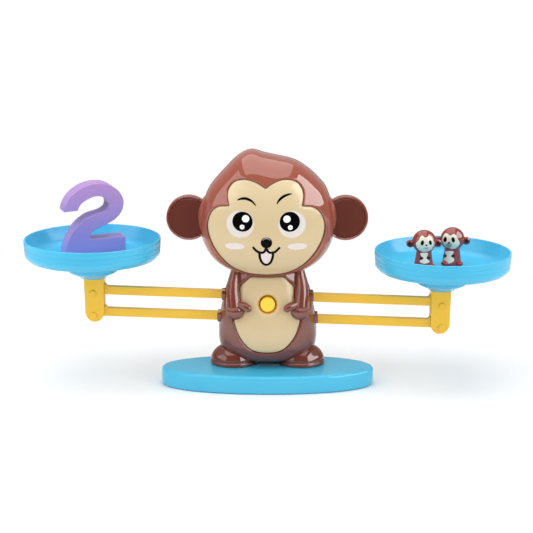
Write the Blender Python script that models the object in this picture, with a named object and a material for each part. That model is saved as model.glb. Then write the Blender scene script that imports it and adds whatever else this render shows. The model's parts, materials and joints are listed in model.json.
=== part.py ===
"""Number balance: a monkey on an oval base holds two parallel beams, and a level pan on each end.

Blender 4.5, metres, +Z up, the monkey faces -Y. The origin is under the middle of the object.
"""

import math

import bmesh
import bpy
from mathutils import Matrix, Vector

# Driving dimensions of the linkage
HALF_SPAN = 0.1284
UPPER_PIVOT_Z = 0.0628
PIVOT_SPACING = 0.0165
REST_TILT = math.radians(2.0)
TRAVEL = math.radians(6.5)
LOWER_PIVOT_Z = UPPER_PIVOT_Z - PIVOT_SPACING

# Clearances
RUNNING = 0.00008
GAP = 0.0003

# Beams
BEAM_HEIGHT = 0.0061
BEAM_THICKNESS = 0.0050
BEAM_RISE = 0.0019
HUB_LENGTH = 0.0080
UPPER_HUB_RADIUS = 0.0065
LOWER_HUB_RADIUS = 0.0055
EYE_RADIUS = 0.0042
EYE_FILLET = 0.0016

# Pins
UPPER_SHAFT_RADIUS = 0.0030
LOWER_SHAFT_RADIUS = 0.0025
BUTTON_RADIUS = 0.00535
BUTTON_FRONT = 0.0206
BUTTON_BACK = 0.0148
PIVOT_REAR = 0.0120
PIN_RADIUS = 0.0015
PIN_HEAD_RADIUS = 0.0025
PIN_HEAD_HEIGHT = 0.0012
PIN_DIMPLE_RADIUS = 0.0009
PIN_SIDES = 20

# Brackets
POST_WIDTH_TOP = 0.0150
POST_WIDTH_LOW = 0.0138
POST_DEPTH = 0.0120
POST_INWARD = 0.0008
POST_BELOW_PIN = 0.0053
POST_ABOVE_PIN = 0.0112
POST_CORNER = 0.0012
SLOT_SIDE_GAP = 0.0004
SLOT_OUTER = EYE_RADIUS + 0.0006
SLOT_ABOVE_PIN = 0.0083
TENON_WIDTH = 0.0110
TENON_DEPTH = 0.0080
TENON_HEIGHT = 0.0080

# Pans, heights down from the rim
PAN_RADIUS = 0.0498
PAN_HEIGHT = 0.0293
PAN_WALL = 0.0018
PAN_FLOOR = 0.0126
PAN_STEP = 0.0114
PAN_SKIRT = 0.0146
PAN_FLOOR_RADIUS = 0.0385
PAN_BOSS_RADIUS = 0.0185
PAN_BOSS_END = 0.0252
PAN_RIM_WALL = 0.0012
PAN_HUB_RADIUS = 0.0097

# Base
BASE_HALF_LENGTH = 0.0783
BASE_HALF_DEPTH = 0.0282
BASE_CENTRE_Y = -0.0091
BASE_HEIGHT = 0.0133
BASE_ROUND = 0.0026
BASE_POWER = 2.12
BASE_WALL = 0.0024
RIB_THICKNESS = 0.0016
RIB_X = (-0.050, 0.0, 0.050)
RIB_LIFT = 0.0030
BASE_BOSS_RADIUS = 0.0046
BASE_BOSS_LIFT = 0.0022
BASE_SCREW_X = 0.0252
BASE_SCREW_Y = -0.0075
BASE_SCREW_SEAT = 0.0075

# Monkey casing
SHELL_WALL = 0.0026
PARTING = 0.00015
POCKET_DEPTH = 0.0024
PLATE_SINK = 0.0005
PLATE_THICKNESS = POCKET_DEPTH - PLATE_SINK - GAP
BODY_POWER = 2.2
BODY_TOP = 0.094
SHELL_FLOOR_Z = 0.0190
UPPER_BOSS_RADIUS = 0.0092
UPPER_REAR_BOSS_RADIUS = 0.0068
LOWER_BOSS_RADIUS = 0.0058
BOSS_CLEARANCE = 0.0004
HEAD_CENTRE = (-0.0004, 0.1236)
HEAD_FRONT = 0.0320
HEAD_BACK = 0.0270
HEAD_POWER = 2.8
HEAD_RIM_WALL = 0.0045
FACE_CENTRE = (-0.0012, 0.1220)
BELLY_CENTRE = (-0.0005, 0.0560)
BELLY_HOLE_RADIUS = 0.00725
EAR_X = 0.0570
EAR_Z = 0.1236
EAR_RADIUS = 0.0164
EAR_HALF_THICKNESS = 0.0042
EAR_DISH = 0.0016
EAR_RIM = 0.0014
SEAT_CENTRE_X = 0.0413
SEAT_RADII = (0.0094, 0.0130, 0.0162)
TONGUE_DEPTH = 0.0050
TONGUE_HEIGHT = 0.0100
TONGUE_X = (0.0412, 0.0530)
CATCH_X = (0.0390, 0.0416)
CATCH_HALF_HEIGHT = 0.0075
CATCH_HALF_DEPTH = 0.0022
FOOT_X = 0.0252
FOOT_Y = -0.0015
FOOT_RADII = (0.0174, 0.0150, 0.0148)
LIP_HEIGHT = 0.0072
LIP_THICKNESS = 0.0021
LIP_REACH_UPPER = 0.0339
LIP_REACH_LOWER = 0.0372
LIP_ROOT_X = 0.0290
BEAM_SLOT_HALF = BEAM_THICKNESS / 2 + 0.0005

# Screws, with the places of the four that join the casing: x, z, seat of the head
SHANK_RADIUS = 0.0012
SCREW_HEAD_RADIUS = 0.0026
SCREW_HEAD_HEIGHT = 0.0018
SCREW_LENGTH = 0.0190
SCREW_BOSS_RADIUS = 0.0042
SHELL_SCREWS = (
    (-0.0220, 0.1450, 0.0175),
    (0.0220, 0.1450, 0.0175),
    (-0.0210, 0.0310, 0.0110),
    (0.0210, 0.0310, 0.0110),
)

# Weights
NUMERAL_THICKNESS = 0.0160
NUMERAL_YAW = math.radians(20.4)
NUMERAL_Y = 0.0020
SMALL_BODY = (
    (0.0, 0.0064, 0.0050),
    (0.0008, 0.0069, 0.0056),
    (0.0040, 0.0068, 0.0056),
    (0.0085, 0.0061, 0.0050),
    (0.0140, 0.0054, 0.0044),
)
SMALL_HEAD_Z = 0.0199
SMALL_HEAD_RADII = (0.0088, 0.0072, 0.0087)
SMALL_EAR_PLACE = (0.0101, 0.0186)
SMALL_EAR_RADII = (0.0030, 0.0016, 0.0030)
SMALL_FOOT_PLACE = (0.0052, -0.0040, 0.0022)
SMALL_FOOT_RADII = (0.0029, 0.0030, 0.0019)
SMALL_MONKEYS = (
    ("small_monkey_left", -0.0144, -0.0050, math.radians(3)),
    ("small_monkey_right", 0.0074, 0.0045, math.radians(-4)),
)

# The head's silhouette from the front, x and z, clockwise from the tuft on top
HEAD_OUTLINE = (
    (-0.0115, 0.1742),
    (0.0092, 0.1690),
    (0.0286, 0.1602),
    (0.0423, 0.1451),
    (0.0478, 0.1250),
    (0.0466, 0.1073),
    (0.0375, 0.0932),
    (0.0215, 0.0850),
    (-0.0010, 0.0826),
    (-0.0225, 0.0850),
    (-0.0385, 0.0932),
    (-0.0474, 0.1081),
    (-0.0484, 0.1255),
    (-0.0432, 0.1451),
    (-0.0285, 0.1627),
    (-0.0197, 0.1705),
)

# Levels of the body: z, half width, depth to the front, depth to the back
BODY_LEVELS = (
    (0.0158, 0.0100, 0.0070, 0.0070),
    (0.0168, 0.0185, 0.0125, 0.0115),
    (0.0205, 0.0270, 0.0180, 0.0160),
    (0.0270, 0.0344, 0.0217, 0.0190),
    (0.0330, 0.0360, 0.0230, 0.0200),
    (0.0395, 0.0362, 0.0234, 0.0205),
    (0.0520, 0.0350, 0.0224, 0.0200),
    (0.0618, 0.0331, 0.0207, 0.0190),
    (0.0710, 0.0309, 0.0188, 0.0175),
    (0.0850, 0.0268, 0.0160, 0.0155),
    (BODY_TOP, 0.0245, 0.0140, 0.0140),
)

# Right halves of the two cream plates, x and z from the top to the bottom
FACE_LOBE = (
    (0.0000, 0.1505),
    (0.0068, 0.1540),
    (0.0142, 0.1560),
    (0.0212, 0.1548),
    (0.0259, 0.1507),
    (0.0276, 0.1448),
    (0.0265, 0.1380),
)
FACE_CHEEK = (
    (0.0265, 0.1380),
    (0.0335, 0.1364),
    (0.0390, 0.1315),
    (0.0418, 0.1235),
    (0.0411, 0.1155),
    (0.0372, 0.1062),
    (0.0312, 0.0980),
    (0.0230, 0.0914),
    (0.0127, 0.0872),
    (0.0000, 0.0859),
)
BELLY_SIDE = (
    (0.0000, 0.0825),
    (0.0105, 0.0825),
    (0.0128, 0.0818),
    (0.0160, 0.0788),
    (0.0190, 0.0758),
    (0.0199, 0.0735),
    (0.0199, 0.0665),
    (0.0212, 0.0600),
    (0.0236, 0.0540),
    (0.0243, 0.0500),
    (0.0233, 0.0458),
    (0.0209, 0.0395),
    (0.0169, 0.0335),
    (0.0121, 0.0290),
    (0.0064, 0.0268),
    (0.0000, 0.0263),
)

# Arm on the right side: path with radii, then the hand and the thumb
ARM_PATH = (
    (0.0232, -0.0085, 0.0900, 0.0026),
    (0.0238, -0.0115, 0.0830, 0.0031),
    (0.0250, -0.0140, 0.0750, 0.0043),
    (0.0250, -0.0155, 0.0680, 0.0052),
    (0.0244, -0.0168, 0.0605, 0.0060),
)
HAND_CENTRE = (0.0235, -0.0178, 0.0572)
HAND_RADII = (0.0068, 0.0048, 0.0062)
THUMB_PATH = (
    (0.0200, -0.0196, 0.0628, 0.0027),
    (0.0165, -0.0214, 0.0618, 0.0030),
    (0.0140, -0.0224, 0.0606, 0.0027),
)

# Numeral 2 seen from the front, x and z from its lower left corner
TWO_STROKE_OUTER = (
    (0.0000, 0.0000),
    (0.0008, 0.0050),
    (0.0035, 0.0126),
    (0.0096, 0.0222),
    (0.0186, 0.0290),
    (0.0290, 0.0320),
    (0.0332, 0.0352),
    (0.0333, 0.0396),
    (0.0300, 0.0430),
    (0.0235, 0.0438),
    (0.0165, 0.0411),
    (0.0125, 0.0378),
    (0.0107, 0.0342),
)
TWO_STROKE_INNER = (
    (0.0008, 0.0338),
    (0.0022, 0.0390),
    (0.0066, 0.0452),
    (0.0142, 0.0507),
    (0.0235, 0.0532),
    (0.0330, 0.0524),
    (0.0406, 0.0476),
    (0.0445, 0.0410),
    (0.0444, 0.0350),
    (0.0420, 0.0300),
    (0.0371, 0.0255),
    (0.0300, 0.0222),
    (0.0235, 0.0194),
    (0.0200, 0.0164),
    (0.0190, 0.0138),
    (0.0210, 0.0124),
)
TWO_WIDTH = 0.0456
TWO_BAR = 0.0127

# Colour, roughness
COLOURS = {
    "brown": ((0.26, 0.085, 0.05), 0.18),
    "cream": ((0.78, 0.63, 0.38), 0.40),
    "blue": ((0.08, 0.52, 0.80), 0.30),
    "yellow": ((0.86, 0.55, 0.08), 0.35),
    "button": ((0.90, 0.66, 0.06), 0.30),
    "purple": ((0.36, 0.22, 0.62), 0.40),
    "red_brown": ((0.28, 0.06, 0.05), 0.30),
    "steel": ((0.55, 0.55, 0.56), 0.35),
}


def clear_scene():
    for obj in list(bpy.data.objects):
        bpy.data.objects.remove(obj, do_unlink=True)


def material(name, colour_name):
    colour, roughness = COLOURS[colour_name]
    made = bpy.data.materials.new(name)
    made.use_nodes = True
    shader = made.node_tree.nodes["Principled BSDF"]
    shader.inputs["Base Color"].default_value = (*colour, 1.0)
    shader.inputs["Roughness"].default_value = roughness
    shader.inputs["Metallic"].default_value = 1.0 if colour_name == "steel" else 0.0
    return made


def finish(bm, name, colour=None, location=(0, 0, 0)):
    """Turns a bmesh into an object. One with no colour is a cutter or a guide."""
    bmesh.ops.recalc_face_normals(bm, faces=bm.faces)
    mesh = bpy.data.meshes.new(name)
    bm.to_mesh(mesh)
    bm.free()
    mesh.shade_smooth()
    mesh.set_sharp_from_angle(angle=math.radians(35))
    obj = bpy.data.objects.new(name, mesh)
    obj.location = location
    bpy.context.collection.objects.link(obj)
    if colour:
        mesh.materials.append(material(name, colour))
    else:
        obj.hide_render = True
        obj.display_type = "WIRE"
    return obj


def boolean(obj, other, operation):
    modifier = obj.modifiers.new(other.name, "BOOLEAN")
    modifier.operation = operation
    modifier.solver = "EXACT"
    modifier.object = other


def cut(obj, *others):
    for other in others:
        boolean(obj, other, "DIFFERENCE")


def join(obj, *others):
    for other in others:
        boolean(obj, other, "UNION")


def spline_point(a, b, c, d, t):
    """Catmull-Rom point between b and c."""
    return tuple(
        0.5 * (2 * q + (r - p) * t + (2 * p - 5 * q + 4 * r - s) * t * t + (3 * q - p - 3 * r + s) * t ** 3)
        for p, q, r, s in zip(a, b, c, d)
    )


def smooth_closed(points, steps):
    count = len(points)
    return [
        spline_point(points[i - 1], points[i], points[(i + 1) % count], points[(i + 2) % count], k / steps)
        for i in range(count)
        for k in range(steps)
    ]


def smooth_open(points, steps):
    """A smooth line through the points, from the first to the last."""
    padded = [points[0], *points, points[-1]]
    line = [
        spline_point(*padded[i : i + 4], k / steps)
        for i in range(len(points) - 1)
        for k in range(steps)
    ]
    return [*line, tuple(points[-1])]


def add_rings(bm, rings):
    """A closed skin over rings of points. A ring of one point is a pole."""
    made = [[bm.verts.new(point) for point in ring] for ring in rings]
    for first, second in zip(made, made[1:]):
        count = max(len(first), len(second))
        for i in range(count):
            j = (i + 1) % count
            if len(first) == 1:
                bm.faces.new((first[0], second[i], second[j]))
            elif len(second) == 1:
                bm.faces.new((first[i], first[j], second[0]))
            else:
                bm.faces.new((first[i], first[j], second[j], second[i]))
    for ring in (made[0], made[-1]):
        if len(ring) > 1:
            bm.faces.new(ring)


def ring_around(radius, height, segments, centre, axis):
    """A circle about an axis through centre, or one point where the radius is zero."""
    if radius == 0:
        angles = [0.0]
    else:
        angles = [2 * math.pi * k / segments for k in range(segments)]
    points = []
    for angle in angles:
        u, v = radius * math.cos(angle), radius * math.sin(angle)
        offset = {"X": (height, u, v), "Y": (u, height, v), "Z": (u, v, height)}[axis]
        points.append(Vector(centre) + Vector(offset))
    return points


def add_turned(bm, profile, centre=(0, 0, 0), axis="Y", segments=24):
    """A solid of revolution from pairs of radius and place along the axis, from one end to the other."""
    add_rings(bm, [ring_around(radius, height, segments, centre, axis) for radius, height in profile])


def add_cylinder(bm, radius, start, end, centre, axis="Y", segments=24):
    add_turned(bm, ((radius, start), (radius, end)), centre, axis, segments)


def add_box(bm, low, high):
    size = [b - a for a, b in zip(low, high)]
    middle = [(a + b) / 2 for a, b in zip(low, high)]
    bmesh.ops.create_cube(bm, size=1.0, matrix=Matrix.Translation(middle) @ Matrix.Diagonal((*size, 1.0)))


def add_ellipsoid(bm, centre, radii, segments=24, rings=12):
    bmesh.ops.create_uvsphere(
        bm,
        u_segments=segments,
        v_segments=rings,
        radius=1.0,
        matrix=Matrix.Translation(centre) @ Matrix.Diagonal((*radii, 1.0)),
    )


def add_prism(bm, outline, front, back):
    """An outline of x and z pairs, carried from y front to y back."""
    add_rings(bm, [[(x, y, z) for x, z in outline] for y in (front, back)])


def add_limb(bm, path, side, segments=14):
    """A round tube through points with radii, with domed ends, on the side of x given as -1 or 1."""
    points = [Vector((side * x, y, z)) for x, y, z, _ in path]
    radii = [radius for *_, radius in path]
    rings = []
    for i, (point, radius) in enumerate(zip(points, radii)):
        along = (points[min(i + 1, len(points) - 1)] - points[max(i - 1, 0)]).normalized()
        across = along.cross(Vector((0, 1, 0))).normalized()
        up = across.cross(along)
        dome = {0: -1, len(points) - 1: 1}.get(i, 0)
        stages = [(math.cos(a), math.sin(a)) for a in (0.0, 0.55, 1.05)] if dome else [(1.0, 0.0)]
        made = [
            [
                point + along * (dome * rise * radius)
                + (across * math.cos(turn) + up * math.sin(turn)) * (radius * width)
                for turn in (2 * math.pi * k / segments for k in range(segments))
            ]
            for width, rise in stages
        ]
        if dome:
            made.append([point + along * (dome * radius)])
        rings.extend(reversed(made) if dome < 0 else made)
    add_rings(bm, rings)


def superellipse(half_x, half_y, power, segments, centre=(0.0, 0.0), back_y=None):
    """Points of a superellipse in x and y. back_y is its half depth where y is positive, if that differs."""
    points = []
    for k in range(segments):
        angle = 2 * math.pi * k / segments
        c, s = math.cos(angle), math.sin(angle)
        depth = back_y if back_y and s > 0 else half_y
        points.append(
            (
                centre[0] + half_x * math.copysign(abs(c) ** (2 / power), c),
                centre[1] + depth * math.copysign(abs(s) ** (2 / power), s),
            )
        )
    return points


# The head is a star-shaped outline about its centre, puffed to the front and the back

HEAD_SMOOTH = smooth_closed(HEAD_OUTLINE, 6)
HEAD_POLAR = sorted(
    (math.atan2(z - HEAD_CENTRE[1], x - HEAD_CENTRE[0]), math.hypot(x - HEAD_CENTRE[0], z - HEAD_CENTRE[1]))
    for x, z in HEAD_SMOOTH
)


def head_radius(angle):
    """Distance from the head's centre to its silhouette."""
    angle = math.atan2(math.sin(angle), math.cos(angle))
    last_angle, last_radius = HEAD_POLAR[-1]
    before = (last_angle - 2 * math.pi, last_radius)
    for after in (*HEAD_POLAR, (HEAD_POLAR[0][0] + 2 * math.pi, HEAD_POLAR[0][1])):
        if angle <= after[0]:
            share = (angle - before[0]) / (after[0] - before[0])
            return before[1] + share * (after[1] - before[1])
        before = after
    return before[1]


def puff(share, power):
    """How far a puffed form stands out, from 1 at its centre to 0 at its rim."""
    return (1 - min(share, 1.0) ** power) ** (1 / power)


def head_front(x, z):
    """y of the head's front surface."""
    dx, dz = x - HEAD_CENTRE[0], z - HEAD_CENTRE[1]
    return -HEAD_FRONT * puff(math.hypot(dx, dz) / head_radius(math.atan2(dz, dx)), HEAD_POWER)


def add_head(bm, grow, front, back, segments=48, steps=6):
    """The head's form. grow widens its outline, and is negative for the hollow inside."""
    radii = [head_radius(2 * math.pi * k / segments) + grow for k in range(segments)]

    def ring(share, y):
        return [
            (
                HEAD_CENTRE[0] + radii[k] * share * math.cos(2 * math.pi * k / segments),
                y,
                HEAD_CENTRE[1] + radii[k] * share * math.sin(2 * math.pi * k / segments),
            )
            for k in range(segments)
        ]

    shares = [math.sin(math.pi / 2 * k / steps) for k in range(1, steps + 1)]
    rings = [[(HEAD_CENTRE[0], -front, HEAD_CENTRE[1])]]
    rings += [ring(share, -front * puff(share, HEAD_POWER)) for share in shares]
    rings += [ring(share, back * puff(share, HEAD_POWER)) for share in reversed(shares[:-1])]
    rings += [[(HEAD_CENTRE[0], back, HEAD_CENTRE[1])]]
    add_rings(bm, rings)


# The body is a stack of superellipses whose sizes change smoothly with height

BODY_SMOOTH = smooth_open(BODY_LEVELS, 3)


def body_level(z):
    """Half width, front depth and back depth of the body at a height."""
    for low, high in zip(BODY_SMOOTH, BODY_SMOOTH[1:]):
        if z <= high[0]:
            share = max(0.0, (z - low[0]) / (high[0] - low[0]))
            return [a + share * (b - a) for a, b in zip(low[1:], high[1:])]
    return list(BODY_SMOOTH[-1][1:])


def body_front(x, z):
    """y of the body's front surface."""
    half_width, front, _ = body_level(z)
    return -front * puff(abs(x) / half_width, BODY_POWER)


def add_body(bm, inset, front_inset, low, high, levels, segments=40):
    """The body's form between two heights. The insets are zero outside, and the walls for the hollow."""
    rings = []
    for z in levels:
        if low <= z <= high:
            half_width, front, back = body_level(z)
            outline = superellipse(
                half_width - inset, front - front_inset, BODY_POWER, segments, back_y=back - inset
            )
            rings.append([(x, y, z) for x, y in outline])
    add_rings(bm, rings)


def mirrored_outline(side, centre):
    """A closed outline from its right half, mirrored about x = 0 and moved to the plate's middle."""
    left = [(-x, z) for x, z in reversed(side[1:-1])]
    return [(x + centre[0], z) for x, z in [*side, *left]]


def grown(outline, centre, by):
    """The outline moved outwards from its centre."""
    points = []
    for x, z in outline:
        dx, dz = x - centre[0], z - centre[1]
        scale = 1 + by / math.hypot(dx, dz)
        points.append((centre[0] + dx * scale, centre[1] + dz * scale))
    return points


def add_draped(bm, outline, centre, surface, front_offset, back_offset, shares=(1.0, 0.75, 0.45)):
    """A sheet that follows a surface, between two offsets in y from it."""

    def ring(share, offset):
        points = []
        for x, z in outline:
            x = centre[0] + (x - centre[0]) * share
            z = centre[1] + (z - centre[1]) * share
            points.append((x, surface(x, z) + offset, z))
        return points

    def pole(offset):
        return [(centre[0], surface(*centre) + offset, centre[1])]

    front = [ring(share, front_offset) for share in reversed(shares)]
    back = [ring(share, back_offset) for share in shares]
    add_rings(bm, [pole(front_offset), *front, *back, pole(back_offset)])


FACE_OUTLINE = mirrored_outline([*smooth_open(FACE_LOBE, 3)[:-1], *smooth_open(FACE_CHEEK, 3)], FACE_CENTRE)
BELLY_OUTLINE = mirrored_outline(smooth_open(BELLY_SIDE, 2), BELLY_CENTRE)


def screw_profile(seat):
    """A pan head screw along y, its head behind the seat, its point to -y."""
    tip = seat - SCREW_LENGTH
    return (
        (0.0, tip),
        (SHANK_RADIUS * 0.4, tip + SHANK_RADIUS * 0.3),
        (SHANK_RADIUS, tip + SHANK_RADIUS * 1.5),
        (SHANK_RADIUS, seat + GAP / 3),
        (SCREW_HEAD_RADIUS, seat + GAP / 3),
        (SCREW_HEAD_RADIUS, seat + SCREW_HEAD_HEIGHT * 0.6),
        (SCREW_HEAD_RADIUS * 0.7, seat + SCREW_HEAD_HEIGHT),
        (SCREW_HEAD_RADIUS * 0.4, seat + SCREW_HEAD_HEIGHT),
        (0.0, seat + SCREW_HEAD_HEIGHT - 0.0008),
    )


def make_casing_forms():
    """The helper solids that both halves of the casing are joined from or cut with."""
    forms = {}
    bm = bmesh.new()
    add_head(bm, 0.0, HEAD_FRONT, HEAD_BACK)
    forms["head"] = finish(bm, "form_head")

    bm = bmesh.new()
    pocket_wall = SHELL_WALL + POCKET_DEPTH
    add_head(bm, -HEAD_RIM_WALL, HEAD_FRONT - pocket_wall, HEAD_BACK - SHELL_WALL, 30, 5)
    forms["head_hollow"] = finish(bm, "form_head_hollow")

    bm = bmesh.new()
    levels = [SHELL_FLOOR_Z + step * 0.0100 for step in range(10)]
    add_body(bm, SHELL_WALL, pocket_wall, SHELL_FLOOR_Z, 0.2, levels, 28)
    forms["body_hollow"] = finish(bm, "form_body_hollow")

    bm = bmesh.new()
    for side in (-1, 1):
        rings = []
        for rise in (0.0, 0.12, 0.40, 0.65, 0.85, 0.95):
            width = 0.93 if rise == 0.0 else (1 - rise ** 2.3) ** (1 / 2.3)
            outline = superellipse(
                FOOT_RADII[0] * width, FOOT_RADII[1] * width, 2.0, 24, (side * FOOT_X, FOOT_Y)
            )
            z = BASE_HEIGHT + GAP + rise * FOOT_RADII[2]
            rings.append([(x, y, z) for x, y in outline])
        rings.append([(side * FOOT_X, FOOT_Y, BASE_HEIGHT + GAP + FOOT_RADII[2])])
        add_rings(bm, rings)
    forms["feet"] = finish(bm, "form_feet")

    for name, grow in (("ear_seats", 0.0), ("ear_seats_clear", 1.5 * GAP)):
        bm = bmesh.new()
        for side in (-1, 1):
            centre = (HEAD_CENTRE[0] + side * SEAT_CENTRE_X, 0, EAR_Z + 0.001)
            add_ellipsoid(bm, centre, [radius + grow for radius in SEAT_RADII], 20, 12)
        forms[name] = finish(bm, "form_" + name)

    bm = bmesh.new()
    add_head(bm, 1.5 * GAP, HEAD_FRONT + GAP, HEAD_BACK + GAP)
    forms["head_clear"] = finish(bm, "form_head_clear")

    bm = bmesh.new()
    half_height = TONGUE_HEIGHT / 2 + GAP
    for side in (-1, 1):
        ends = sorted((side * (CATCH_X[0] - GAP), side * (TONGUE_X[1] + 0.003)))
        add_box(
            bm,
            (ends[0], -TONGUE_DEPTH / 2 - GAP, EAR_Z - half_height),
            (ends[1], TONGUE_DEPTH / 2 + GAP, EAR_Z + half_height),
        )
    forms["tongue_holes"] = finish(bm, "form_tongue_holes")

    bm = bmesh.new()
    reach = math.tan(TRAVEL) * LIP_REACH_LOWER + 0.0008
    low = LOWER_PIVOT_Z + BEAM_RISE - BEAM_HEIGHT / 2 - reach
    high = UPPER_PIVOT_Z + BEAM_RISE + BEAM_HEIGHT / 2 + reach
    add_box(bm, (-0.06, -BEAM_SLOT_HALF, low), (0.06, BEAM_SLOT_HALF, high))
    forms["beam_slot"] = finish(bm, "form_beam_slot")
    return forms


def lips(name, face_sign):
    """Small guide blocks beside each beam's way out, in front of the beams or behind them."""
    bm = bmesh.new()
    near, far = BEAM_SLOT_HALF, BEAM_SLOT_HALF + LIP_THICKNESS
    ys = sorted((face_sign * near, face_sign * far))
    for side in (-1, 1):
        for pivot_z, reach in ((UPPER_PIVOT_Z, LIP_REACH_UPPER), (LOWER_PIVOT_Z, LIP_REACH_LOWER)):
            xs = sorted((side * LIP_ROOT_X, side * reach))
            middle = pivot_z + BEAM_RISE + 0.0004 - side * 0.0006
            add_box(bm, (xs[0], ys[0], middle - LIP_HEIGHT / 2), (xs[1], ys[1], middle + LIP_HEIGHT / 2))
    return finish(bm, name)


def make_arms():
    bm = bmesh.new()
    for side in (-1, 1):
        add_limb(bm, ARM_PATH, side)
    arms = finish(bm, "form_arms")
    bm = bmesh.new()
    for side in (-1, 1):
        centre = (side * HAND_CENTRE[0], HAND_CENTRE[1], HAND_CENTRE[2])
        add_ellipsoid(bm, centre, HAND_RADII, 16, 10)
    hands = finish(bm, "form_hands")
    bm = bmesh.new()
    for side in (-1, 1):
        add_limb(bm, THUMB_PATH, side, 10)
    thumbs = finish(bm, "form_thumbs")
    join(arms, hands, thumbs)
    return arms


def make_front_shell(forms):
    bm = bmesh.new()
    add_body(bm, 0.0, 0.0, 0.0, 0.2, [level[0] for level in BODY_SMOOTH[::3]])
    shell = finish(bm, "front_shell", "brown")

    bm = bmesh.new()
    add_draped(bm, grown(BELLY_OUTLINE, BELLY_CENTRE, GAP), BELLY_CENTRE, body_front, -0.008, POCKET_DEPTH)
    belly_pocket = finish(bm, "cut_belly_pocket")
    bm = bmesh.new()
    room = grown(BELLY_OUTLINE, BELLY_CENTRE, 1.3 * GAP)
    add_draped(bm, room, BELLY_CENTRE, body_front, PLATE_SINK - GAP, POCKET_DEPTH + GAP / 3)
    belly_room = finish(bm, "cut_belly_room")
    bm = bmesh.new()
    add_draped(bm, grown(FACE_OUTLINE, FACE_CENTRE, GAP), FACE_CENTRE, head_front, -0.008, POCKET_DEPTH)
    face_pocket = finish(bm, "cut_face_pocket")

    bm = bmesh.new()
    for x, z, _ in SHELL_SCREWS:
        surface = head_front(x, z) if z > BODY_TOP else body_front(x, z)
        add_cylinder(bm, SCREW_BOSS_RADIUS, surface + POCKET_DEPTH + 0.0012, 0.001, (x, 0, z), segments=16)
    face = -(HUB_LENGTH / 2 + BOSS_CLEARANCE)
    upper_front = body_front(0, UPPER_PIVOT_Z) + POCKET_DEPTH + 0.0008
    lower_front = body_front(0, LOWER_PIVOT_Z) + POCKET_DEPTH + 0.0012
    add_cylinder(bm, UPPER_BOSS_RADIUS, upper_front, face, (0, 0, UPPER_PIVOT_Z))
    add_cylinder(bm, LOWER_BOSS_RADIUS, lower_front, face, (0, 0, LOWER_PIVOT_Z))
    bosses = finish(bm, "form_front_bosses")

    bm = bmesh.new()
    for x, z, seat in SHELL_SCREWS:
        depth = seat - SCREW_LENGTH - 0.0008
        add_cylinder(bm, SHANK_RADIUS + RUNNING, depth, 0.01, (x, 0, z), segments=16)
    bore = UPPER_SHAFT_RADIUS + RUNNING
    add_turned(
        bm,
        (
            (BELLY_HOLE_RADIUS, -0.04),
            (BELLY_HOLE_RADIUS, -BUTTON_BACK + GAP),
            (bore, -BUTTON_BACK + GAP),
            (bore, 0.0),
        ),
        (0, 0, UPPER_PIVOT_Z),
    )
    add_cylinder(bm, LOWER_SHAFT_RADIUS + RUNNING, -PIVOT_REAR - GAP, 0.0, (0, 0, LOWER_PIVOT_Z))
    for side in (-1, 1):
        centre = (side * BASE_SCREW_X, BASE_SCREW_Y, 0)
        add_cylinder(bm, SHANK_RADIUS + RUNNING, 0.0, 0.0235, centre, "Z", 16)
    bores = finish(bm, "cut_front_bores")

    bm = bmesh.new()
    add_box(bm, (-0.1, -PARTING, 0.0), (0.1, 0.06, 0.2))
    rear_half = finish(bm, "cut_rear_half")

    cut(shell, belly_pocket)
    join(shell, forms["head"], forms["feet"], forms["ear_seats"], make_arms(), lips("form_front_lips", -1))
    cut(shell, forms["body_hollow"], forms["head_hollow"])
    join(shell, bosses)
    cut(shell, face_pocket, belly_room, rear_half, bores, forms["beam_slot"], forms["tongue_holes"])


def make_rear_shell(forms):
    bm = bmesh.new()
    add_body(bm, 0.0, 0.0, 0.0, 0.2, [level[0] for level in BODY_SMOOTH[::3]])
    shell = finish(bm, "rear_shell", "brown")

    bm = bmesh.new()
    for x, z, seat in SHELL_SCREWS:
        add_cylinder(bm, SCREW_BOSS_RADIUS, -0.001, seat + 0.0025, (x, 0, z), segments=16)
    face = HUB_LENGTH / 2 + BOSS_CLEARANCE
    upper_back = body_level(UPPER_PIVOT_Z)[2] - 0.001
    lower_back = body_level(LOWER_PIVOT_Z)[2] - 0.001
    add_cylinder(bm, UPPER_REAR_BOSS_RADIUS, face, upper_back, (0, 0, UPPER_PIVOT_Z))
    add_cylinder(bm, LOWER_BOSS_RADIUS, face, lower_back, (0, 0, LOWER_PIVOT_Z))
    bosses = finish(bm, "form_rear_bosses")

    bm = bmesh.new()
    for x, z, seat in SHELL_SCREWS:
        shank, head = SHANK_RADIUS + GAP, SCREW_HEAD_RADIUS + GAP
        add_turned(bm, ((shank, -0.01), (shank, seat), (head, seat), (head, 0.05)), (x, 0, z), segments=16)
    for radius, z in ((UPPER_SHAFT_RADIUS, UPPER_PIVOT_Z), (LOWER_SHAFT_RADIUS, LOWER_PIVOT_Z)):
        add_cylinder(bm, radius + RUNNING, 0.0, PIVOT_REAR + GAP, (0, 0, z))
    bores = finish(bm, "cut_rear_bores")

    bm = bmesh.new()
    add_box(bm, (-0.1, -0.06, 0.0), (0.1, PARTING, 0.2))
    front_half = finish(bm, "cut_front_half")

    join(shell, forms["head"], forms["feet"], forms["ear_seats"], lips("form_rear_lips", 1))
    cut(shell, forms["body_hollow"], forms["head_hollow"])
    join(shell, bosses)
    cut(shell, front_half, bores, forms["beam_slot"], forms["tongue_holes"])


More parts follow.
